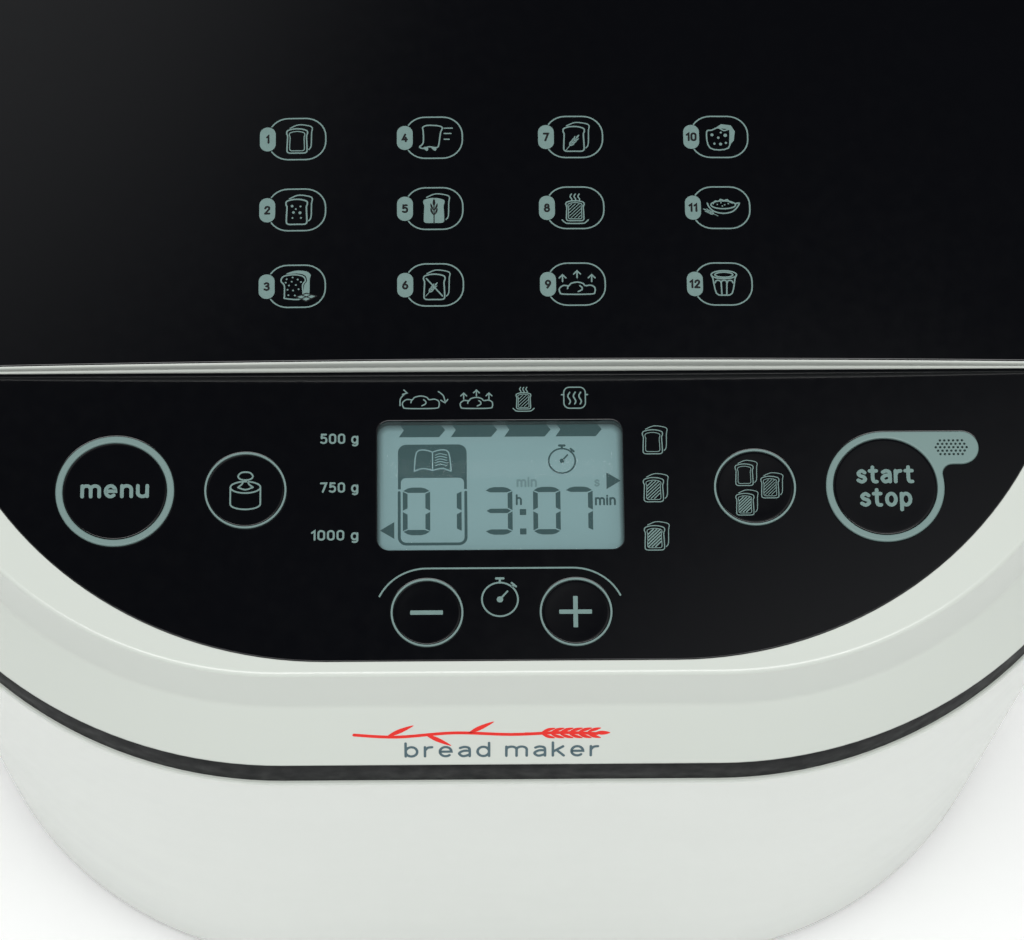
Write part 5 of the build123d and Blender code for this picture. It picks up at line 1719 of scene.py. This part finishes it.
@dataclass
class Buttons:
    """The six moving button caps and their prints."""

    panel: ControlPanel

    def build(self) -> None:
        """Makes each cap and prints its mark."""
        for b in self.panel.buttons:
            box = Box.of(b.node)
            top, low, radius = box.high.z, box.low.z, b.radius - 0.12
            profile = [(0.0005, low), (b.radius + 1.15, low), (b.radius + 1.2, low + 0.05),
                       (b.radius + 1.2, low + 0.95), (b.radius + 1.15, low + 1.0),
                       (radius, low + 1.0), (radius, top - 0.14)]
            profile += [(radius - 0.14 * (1 - math.cos(a)), top - 0.14 * (1 - math.sin(a)))
                        for a in (math.pi / 2 * i / 4 for i in range(1, 5))]
            profile += [(radius - 0.5, top)] + [(radius * t, top - 0.04 * (1 - t * t))
                                                for t in (0.8, 0.6, 0.4, 0.2)]
            profile += [(0.0005, top - 0.04)]
            mesh = lathe(profile, 96).mesh(f"{b.node}_cap", Matrix.Translation((b.x, b.y, 0)))
            mesh.set_sharp_from_angle(angle=math.radians(50))
            add_piece(f"{b.node}_cap", mesh, Finish.BLACK_CAP, b.node, (b.node,))
            self.mark(b, top, radius)

    def mark(self, b: Button, top: float, radius: float) -> None:
        """Prints one button's mark on its dished face."""
        ink = Ink(lambda x, y: top - 0.04 * max(
            0.0, 1 - ((x - b.x) ** 2 + (y - b.y) ** 2) / radius ** 2))
        art = Artwork(ink)
        kind = b.node.split("_")[0]
        if kind == "menu":
            ink.text("menu", b.x, b.y - 0.05, 14.4, 3.2, pen=0.78)
        elif kind == "start":
            ink.text("start", b.x + 0.05, b.y + 2.7, 12.2, 4.1, pen=0.8)
            ink.text("stop", b.x + 0.05, b.y - 3.05, 11.0, 5.3, pen=0.8)
        elif kind == "weight":
            art.weight(b.x, b.y - 0.25, 1.0, 0.34)
        elif kind == "colour":
            for x, y, shade in ((-2.0, 3.2, 0.0), (3.35, 0.35, 0.14), (-2.0, -3.5, 0.24)):
                art.slices(b.x + x, b.y + y, 0.83, 0.2, doubled=True)
                if shade:
                    art.hatch(b.x + x - 0.2, b.y + y - 0.4, 2.4, 3.4, 0.66, shade)
        else:
            ink.fill(rounded(b.x - 0.1, b.y, 6.8, 0.95, 0.12, 2))
            if kind == "plus":
                for side in (-1, 1):
                    ink.fill(rounded(b.x - 0.1, b.y + side * 1.98, 0.95, 3.0, 0.12, 2))
        ink.finish(f"{b.node}_mark", b.node, "grey_trim")


# ---- Lid -----------------------------------------------------------------------------------
@dataclass
class Lid:
    """The hinged lid: white frame, black plate, window, inner tray and seal."""

    sizes: Sizes
    body: str = "lid"

    def build(self) -> None:
        """Makes every piece of the lid."""
        self.frame()
        self.plate()
        self.print()
        dress("lid_liner", Finish.LINER, 0.0)
        dress("lid_glass", Finish.GLASS, 0.3)
        dress("lid_seal", Finish.SILICONE, 0.5)
        dress("hinge_brackets", Finish.WHITE_SHELL, 0.35)
        dress("hinge_pins", Finish.STEEL, 0.2)

    def crowned(self, low: float, start: float) -> Callable[[float, float, float], float]:
        """A lift that leaves points at one height alone and gives those above another the crown."""
        return lambda x, y, z: -self.sizes.drop(x) * min(1.0, max(0.0, (z - low) / (start - low)))

    def window(self) -> tuple[float, float, float]:
        """The window's width, depth and middle."""
        box = Box.of("lid_window")
        return box.width, box.depth, box.middle.y

    def frame(self) -> None:
        """Makes the white frame, with the fine groove along its edge and the hinge knuckles."""
        s = self.sizes
        box = Box.of("lid_frame")
        low, top = box.low.z, s.lid_top - 0.3
        seat = s.lid_top - 1.2
        outline = s.lid.cut(s.lid_line, False, 1.6)
        width, depth, y = self.window()
        profile = [(1.0, low), (0.25, low + 0.04), (0.0, low + 0.3), (0.0, low + 0.8)]
        profile += [(0.95 - 0.95 * math.cos(a), low + 0.8 + 1.15 * math.sin(a))
                    for a in (math.radians(13 * i) for i in range(1, 6))]
        profile += [(0.62, low + 1.93), (0.64, low + 2.2), (0.32, low + 2.26), (0.2, low + 2.5),
                    (0.2, top - 0.7)]
        profile += [(0.2 + 0.4 * (1 - math.cos(a)), top - 0.7 + 0.7 * math.sin(a))
                    for a in (math.radians(15 * i) for i in range(1, 7))]
        profile += [(1.12, top), (1.2, top - 0.05), (1.2, seat)]
        hole = rounded(0, y, width - 7.8, depth - 7.8, 8.0, 8)
        shape = Shape().plate(outline, profile, [(hole, [(0, low), (0, seat)])])
        shape.sliced(8.0, self.crowned(low + 0.4, seat))
        mesh = shape.mesh("white_lid_frame")
        mesh.set_sharp_from_angle(angle=math.radians(60))
        add_piece("white_lid_frame", mesh, Finish.WHITE_SHELL, self.body,
                  ("lid_frame",))
        pins = Box.of("hinge_pins")
        axis = (pins.middle.y, pins.middle.z)
        for side in (-1, 1):
            r = 2.8
            loop = arc(axis[0], axis[1], r, -90, 118, 24)
            loop += [(box.high.y - 7.6, axis[1] + 1.2), (box.high.y - 7.6, low + 0.02),
                     (axis[0], low + 0.02)]
            shape = Shape()
            ends = [[shape.bm.verts.new((side * 42.0 + e * 12.0, py, pz)) for py, pz in loop]
                    for e in (-1, 1)]
            shape.band(ends[0], ends[1])
            shape.bm.faces.new(ends[0])
            shape.bm.faces.new(ends[1])
            mesh = shape.mesh(f"lid_knuckle_{'left' if side < 0 else 'right'}")
            mesh.set_sharp_from_angle(angle=math.radians(35))
            add_piece(mesh.name, mesh, Finish.WHITE_SHELL, self.body)

    def plate(self) -> None:
        """Makes the glossy black plate and the smoked window set into it."""
        s = self.sizes
        low, top = s.lid_top - 1.2, s.lid_top
        outline = s.lid.cut(s.lid_line + 0.55, False, 0.9, 1.3)
        width, depth, y = self.window()
        crown = self.crowned(-1.0, 0.0)
        hole = rounded(0, y, width + 0.2, depth + 0.2, 10.0, 8)
        shape = Shape().plate(outline, rim_profile(low, top, 0.28),
                              [(hole, [(0, low), (0, top - 0.15), (0.05, top - 0.05),
                                       (0.15, top), (0.25, top)])])
        shape.sliced(5.0, crown)
        add_piece("black_lid_plate", shape.mesh("black_lid_plate"), Finish.BLACK_GLOSS, self.body,
                  ("lid_plate",))
        pane = Shape().plate(rounded(0, y, width, depth, 10.0, 8), rim_profile(low, top, 0.15))
        pane.sliced(5.0, crown)
        add_piece("smoked_lid_window", pane.mesh("smoked_lid_window"), Finish.WINDOW, self.body,
                  ("lid_window",))

    def print(self) -> None:
        """Prints the twelve programme pictures."""
        s = self.sizes
        ink = Ink(lambda x, y: s.lid_top - s.drop(x))
        art = Artwork(ink)
        line = 0.3
        number = 0
        for badge_x, x in ((-50.9, -42.9), (-21.5, -13.6), (8.8, 16.5), (40.0, 47.7)):
            for y in (-23.5, -40.3, -58.2):
                number += 1
                self.pill(ink, x, y)
                self.picture(art, number, x + 0.2, y, line)
                ink.fill(rounded(badge_x + 1.7, y, 3.4, 5.7, 1.68, 8))
                width = {1: 0.75, 10: 2.35, 11: 1.9, 12: 2.35}.get(number, 1.35)
                ink.text(str(number), badge_x + 1.7, y, width, 2.05, Finish.INK_DARK, 0.44)
        ink.finish("lid_print", self.body, "grey_trim")

    @staticmethod
    def pill(ink: Ink, x: float, y: float) -> None:
        """Draws the rounded frame of one picture."""
        loop = rounded(x, y, 12.3, 9.8, 4.3, 8)
        start = min(range(len(loop)), key=lambda i: (loop[i][0] - x + 6.15) ** 2
                    + (loop[i][1] - y + 3.0) ** 2)
        turned = loop[start:] + loop[:start]
        kept = [p for p in turned if not (p[0] < x - 4.6 and abs(p[1] - y) < 2.9)]
        ink.stroke(kept, 0.3)

    @staticmethod
    def picture(art: Artwork, number: int, x: float, y: float, line: float) -> None:
        """Draws one programme's picture."""
        if number == 1:
            art.slices(x, y, 0.98, line, doubled=True)
        elif number == 2:
            art.slices(x, y, 1.0, line * 1.1)
            for px, py, r in ((-1.2, 0.9, 0.3), (0.6, 0.8, 0.22), (-0.4, 0.2, 0.2),
                              (-0.9, -0.6, 0.3), (0.5, -0.7, 0.34), (-1.1, -1.9, 0.2),
                              (0.7, -1.9, 0.2)):
                art.ink.fill(circle(x + px, y + py, r, 10))
        elif number == 3:
            art.loaf(x - 0.2, y, 0.98, line)
        elif number == 4:
            art.slanted(x, y, 0.98, line)
        elif number == 5:
            art.slices(x, y, 1.0, line, filled=True)
            art.ear(x - 0.2, y - 1.7, 1.75, 0, Finish.INK_DARK, 2)
        elif number == 6:
            art.slices(x, y, 1.0, line)
            art.ear(x - 1.4, y - 1.8, 1.05, -38, Finish.INK)
            art.ink.stroke([(x - 1.9, y + 1.5), (x + 1.5, y - 2.6)], line)
        elif number == 7:
            art.slices(x, y, 1.0, line)
            art.ear(x - 1.2, y - 2.2, 1.2, -38, Finish.INK)
        elif number == 8:
            art.toast(x - 0.2, y, 0.98, 0.27)
        elif number == 9:
            art.dough(x, y - 1.1, 0.98, line)
            for px, py in ((-3.1, 1.4), (0.0, 2.3), (3.1, 1.4)):
                art.arrow(x + px, y + py, 1.15, line)
        elif number == 10:
            art.cake(x, y, 0.95, line)
        elif number == 11:
            art.bowl(x, y - 0.2, 0.98, line)
        else:
            art.jar(x, y + 0.2, 0.98, line)


# ---- Insides -------------------------------------------------------------------------------
@dataclass
class Insides:
    """The chamber, the pan, the drive and the electronics."""

    def build(self) -> None:
        """Gives each inside piece its finish."""
        for node, finish, bevel in (
                ("chamber_liner", Finish.CHAMBER, 0.3), ("heating_element", Finish.HOT_STEEL, 0.0),
                ("element_holders", Finish.STEEL, 0.3), ("temperature_sensor", Finish.STEEL, 0.3),
                ("thermal_fuse", Finish.WHITE_PLASTIC, 0.3), ("pan_seat", Finish.CAST, 0.5),
                ("bread_pan", Finish.NON_STICK, 0.3), ("pan_base", Finish.CAST, 0.4),
                ("pan_bush", Finish.BRONZE, 0.3), ("pan_handle", Finish.STEEL, 0.0),
                ("handle_grip", Finish.GREY_PLASTIC, 0.8), ("pan_shaft", Finish.STEEL, 0.3),
                ("pan_coupling", Finish.STEEL, 0.4), ("kneading_paddle", Finish.NON_STICK, 0.6),
                ("chassis_plate", Finish.ZINC, 0.2),
                ("bearing_housing", Finish.CAST, 0.5), ("drive_shaft", Finish.STEEL, 0.3),
                ("drive_coupling", Finish.STEEL, 0.3), ("large_pulley", Finish.GREY_PLASTIC, 0.3),
                ("drive_belt", Finish.RUBBER, 0.3), ("motor_body", Finish.MOTOR_PAINT, 0.3),
                ("motor_shaft", Finish.STEEL, 0.3), ("motor_pulley", Finish.STEEL, 0.2),
                ("motor_capacitor", Finish.WHITE_PLASTIC, 0.3), ("power_board", Finish.BOARD, 0.2),
                ("transformer", Finish.ZINC, 0.3), ("control_board", Finish.BOARD, 0.15),
                ("tact_switches", Finish.GREY_PLASTIC, 0.15), ("buzzer", Finish.GREY_PLASTIC, 0.2)):
            dress(node, finish, bevel)
        self.screws()
        self.fan()

    @staticmethod
    def screws() -> None:
        """Sets every screw, head and ridged shank, where the frame has one."""
        repeater = Repeater(Layout.POINTS)
        for node, radius, shank, seat, tip, body in (
                ("base_screws", 3.2, 1.25, 5.0, 10.0, "housing"),
                ("chassis_screws", 3.6, 1.45, 60.0, 48.0, "housing"),
                ("lid_screws", 2.8, 1.2, 274.0, 289.3, "lid")):
            box = Box.of(node)
            down = tip > seat
            height = seat - box.low.z if down else box.high.z - seat
            item = screw(radius, height, shank, abs(tip - seat))
            places = [((x, y, seat), (180.0 if down else 0.0, 0.0, 37.0 * k))
                      for k, (x, y) in enumerate(islands(node, 12.0))]
            add_piece(node, repeater.make(f"{node}_set", item, Finish.STEEL, places), Finish.STEEL,
                      body, (node,))

    @staticmethod
    def fan() -> None:
        """Makes the motor's fan: a hub on a disc, and nine swept blades round it."""
        box = Box.of("cooling_fan")
        shaft = Box.of("motor_shaft").middle
        low, high, inner = box.low.z, box.high.z, 8.2
        reach = box.high.x - shaft.x - inner
        hub = lathe([(4.02, low), (25.8, low), (26.0, low + 0.2), (26.0, low + 1.0),
                     (25.8, low + 1.2), (10.0, low + 1.2), (9.2, low + 2.0), (9.0, high - 0.8),
                     (8.2, high), (4.6, high), (4.02, high - 0.5)], 72)
        add_piece("cooling_fan_hub", hub.mesh("fan_hub", Matrix.Translation((shaft.x, shaft.y, 0))),
                  Finish.GREY_PLASTIC, "rotor", ("cooling_fan",))
        steps = [i / 10 for i in range(11)]
        swept = [(t * reach, -4.6 * t ** 1.6, 0.7 - 0.3 * t) for t in steps]
        outline = [(x, y - half) for x, y, half in swept]
        outline += [(x, y + half) for x, y, half in reversed(swept)]
        blade = Shape().plate(outline, rim_profile(0.6, high - low - 0.4, 0.2)).mesh("blade")
        blades = Repeater(Layout.RING).make(
            "cooling_fan_blades", blade, Finish.GREY_PLASTIC, Count=9, Radius=inner * MM,
            Start=Vector((shaft.x, shaft.y, low)) * MM)
        add_piece("cooling_fan_blades", blades, Finish.GREY_PLASTIC, "rotor")


# ---- Studio --------------------------------------------------------------------------------
@dataclass(frozen=True)
class Lobe:
    """A soft change of the sky's brightness round a direction."""

    azimuth: float
    elevation: float
    inner: float
    outer: float
    level: float

    @property
    def direction(self) -> Vector:
        """Unit vector towards the lobe, azimuth from +Y towards +X."""
        a, e = math.radians(self.azimuth), math.radians(self.elevation)
        return Vector((math.sin(a) * math.cos(e), math.cos(a) * math.cos(e), math.sin(e)))


@dataclass
class Studio:
    """The floor, the soft light and the camera."""

    sky: float = 0.62
    dark: Lobe = Lobe(0.0, 67.7, 24.0, 42.0, 0.045)
    glows: tuple[Lobe, ...] = (Lobe(-20.0, 52.0, 2.0, 15.0, 0.55), Lobe(26.0, 73.0, 1.0, 9.2, 0.5),
                               Lobe(-100.0, 8.0, 15.0, 65.0, -0.16),
                               Lobe(100.0, 8.0, 15.0, 65.0, -0.12))

    def build(self) -> None:
        """Sets the scene up."""
        self.floor()
        self.world()
        self.light("left_light", (-1500, -300, 1000), (0, 0, 150), 1000, 900, 1)
        self.light("right_light", (1600, 100, 900), (0, 0, 150), 900, 900, 0.5)
        self.light("top_light", (0, -380, 2000), (0, -50, 200), 1500, 900, 25)
        self.camera()

    def floor(self) -> None:
        """Adds a plain pale floor."""
        shape = Shape()
        shape.bm.faces.new(shape.ring(rounded(0, 0, 8000, 8000, 100, 4), 0.0))
        mesh = shape.mesh("floor")
        g = Graph("pale_floor")
        g.colour(g.noise(2.0), (0.93, 0.93, 0.93), (0.96, 0.96, 0.96))
        g.set(Roughness=0.6, Emission_Color=(1.0, 1.0, 1.0, 1.0), Emission_Strength=0.16)
        mesh.materials.append(g.material)
        floor = shown("floor", mesh)
        if mesh.polygons[0].normal.z < 0:
            mesh.flip_normals()

    def world(self) -> None:
        """Makes a soft white sky with a dark patch where the gloss mirrors it."""
        world = bpy.data.worlds.new("soft_sky")
        world.use_nodes = True
        bpy.context.scene.world = world
        tree = world.node_tree
        tree.nodes.clear()
        where = tree.nodes.new("ShaderNodeTexCoord").outputs["Generated"]

        def share(lobe: Lobe) -> bpy.types.NodeSocket:
            """How much a lobe holds in the direction looked at, 0 to 1."""
            dot = tree.nodes.new("ShaderNodeVectorMath")
            dot.operation = "DOT_PRODUCT"
            dot.inputs[1].default_value = lobe.direction
            tree.links.new(where, dot.inputs[0])
            ramp = tree.nodes.new("ShaderNodeMapRange")
            ramp.interpolation_type = "SMOOTHSTEP"
            ramp.inputs["From Min"].default_value = math.cos(math.radians(lobe.outer))
            ramp.inputs["From Max"].default_value = math.cos(math.radians(lobe.inner))
            tree.links.new(dot.outputs["Value"], ramp.inputs["Value"])
            return ramp.outputs["Result"]

        def maths(kind: str, first: bpy.types.NodeSocket,
                  second: bpy.types.NodeSocket | float) -> bpy.types.NodeSocket:
            """One sum or product."""
            node = tree.nodes.new("ShaderNodeMath")
            node.operation = kind
            tree.links.new(first, node.inputs[0])
            if isinstance(second, float):
                node.inputs[1].default_value = second
            else:
                tree.links.new(second, node.inputs[1])
            return node.outputs[0]

        level = maths("ADD", maths("MULTIPLY", share(self.dark), self.dark.level - self.sky),
                      self.sky)
        for lobe in self.glows:
            level = maths("ADD", level, maths("MULTIPLY", share(lobe), lobe.level))
        back = tree.nodes.new("ShaderNodeBackground")
        back.inputs["Color"].default_value = (0.985, 1.0, 0.985, 1.0)
        tree.links.new(level, back.inputs["Strength"])
        out = tree.nodes.new("ShaderNodeOutputWorld")
        tree.links.new(back.outputs["Background"], out.inputs["Surface"])

    @staticmethod
    def light(name: str, place: Sequence[float], aim: Sequence[float], width: float,
              height: float, power: float) -> None:
        """Adds a soft box, with places in millimetres and power in watts."""
        data = bpy.data.lights.new(name, "AREA")
        data.shape, data.size, data.size_y, data.energy = "RECTANGLE", width * MM, height * MM, power
        lamp = shown(name, data)
        lamp.location = Vector(place) * MM
        lamp.rotation_euler = (Vector(aim) - Vector(place)).to_track_quat("-Z", "Y").to_euler()

    @staticmethod
    def camera() -> None:
        """Adds the camera, looking steeply down from the front."""
        turn, tilt, roll = math.radians(-1.45), math.radians(67.7), math.radians(0.99)
        forward = Vector((-math.sin(turn) * math.cos(tilt), math.cos(turn) * math.cos(tilt),
                          -math.sin(tilt)))
        right = Vector((math.cos(turn), math.sin(turn), 0.0))
        up = right.cross(forward)
        x = right * math.cos(roll) + up * math.sin(roll)
        y = up * math.cos(roll) - right * math.sin(roll)
        place = Vector((-10.63, -522.55, 1311.89)) * MM
        data = bpy.data.cameras.new("camera")
        data.lens, data.sensor_width = 185.3, 36.0
        data.shift_x, data.shift_y = 0.01145, 0.01855
        data.clip_start = 0.05
        eye = shown("camera", data)
        eye.matrix_world = Matrix(((x.x, y.x, -forward.x, place.x), (x.y, y.y, -forward.y, place.y),
                                   (x.z, y.z, -forward.z, place.z), (0, 0, 0, 1)))
        bpy.context.scene.camera = eye
        bpy.context.scene.view_settings.view_transform = "Standard"


def main() -> None:
    """Builds the looks round the frame."""
    logging.basicConfig(level=logging.INFO, format="%(name)s: %(message)s")
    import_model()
    sizes = Sizes.read()
    Housing(sizes).build()
    panel = ControlPanel(sizes)
    panel.build()
    Display(panel).build()
    Buttons(panel).build()
    Lid(sizes).build()
    Insides().build()
    Studio().build()


if __name__ == "__main__":
    main()
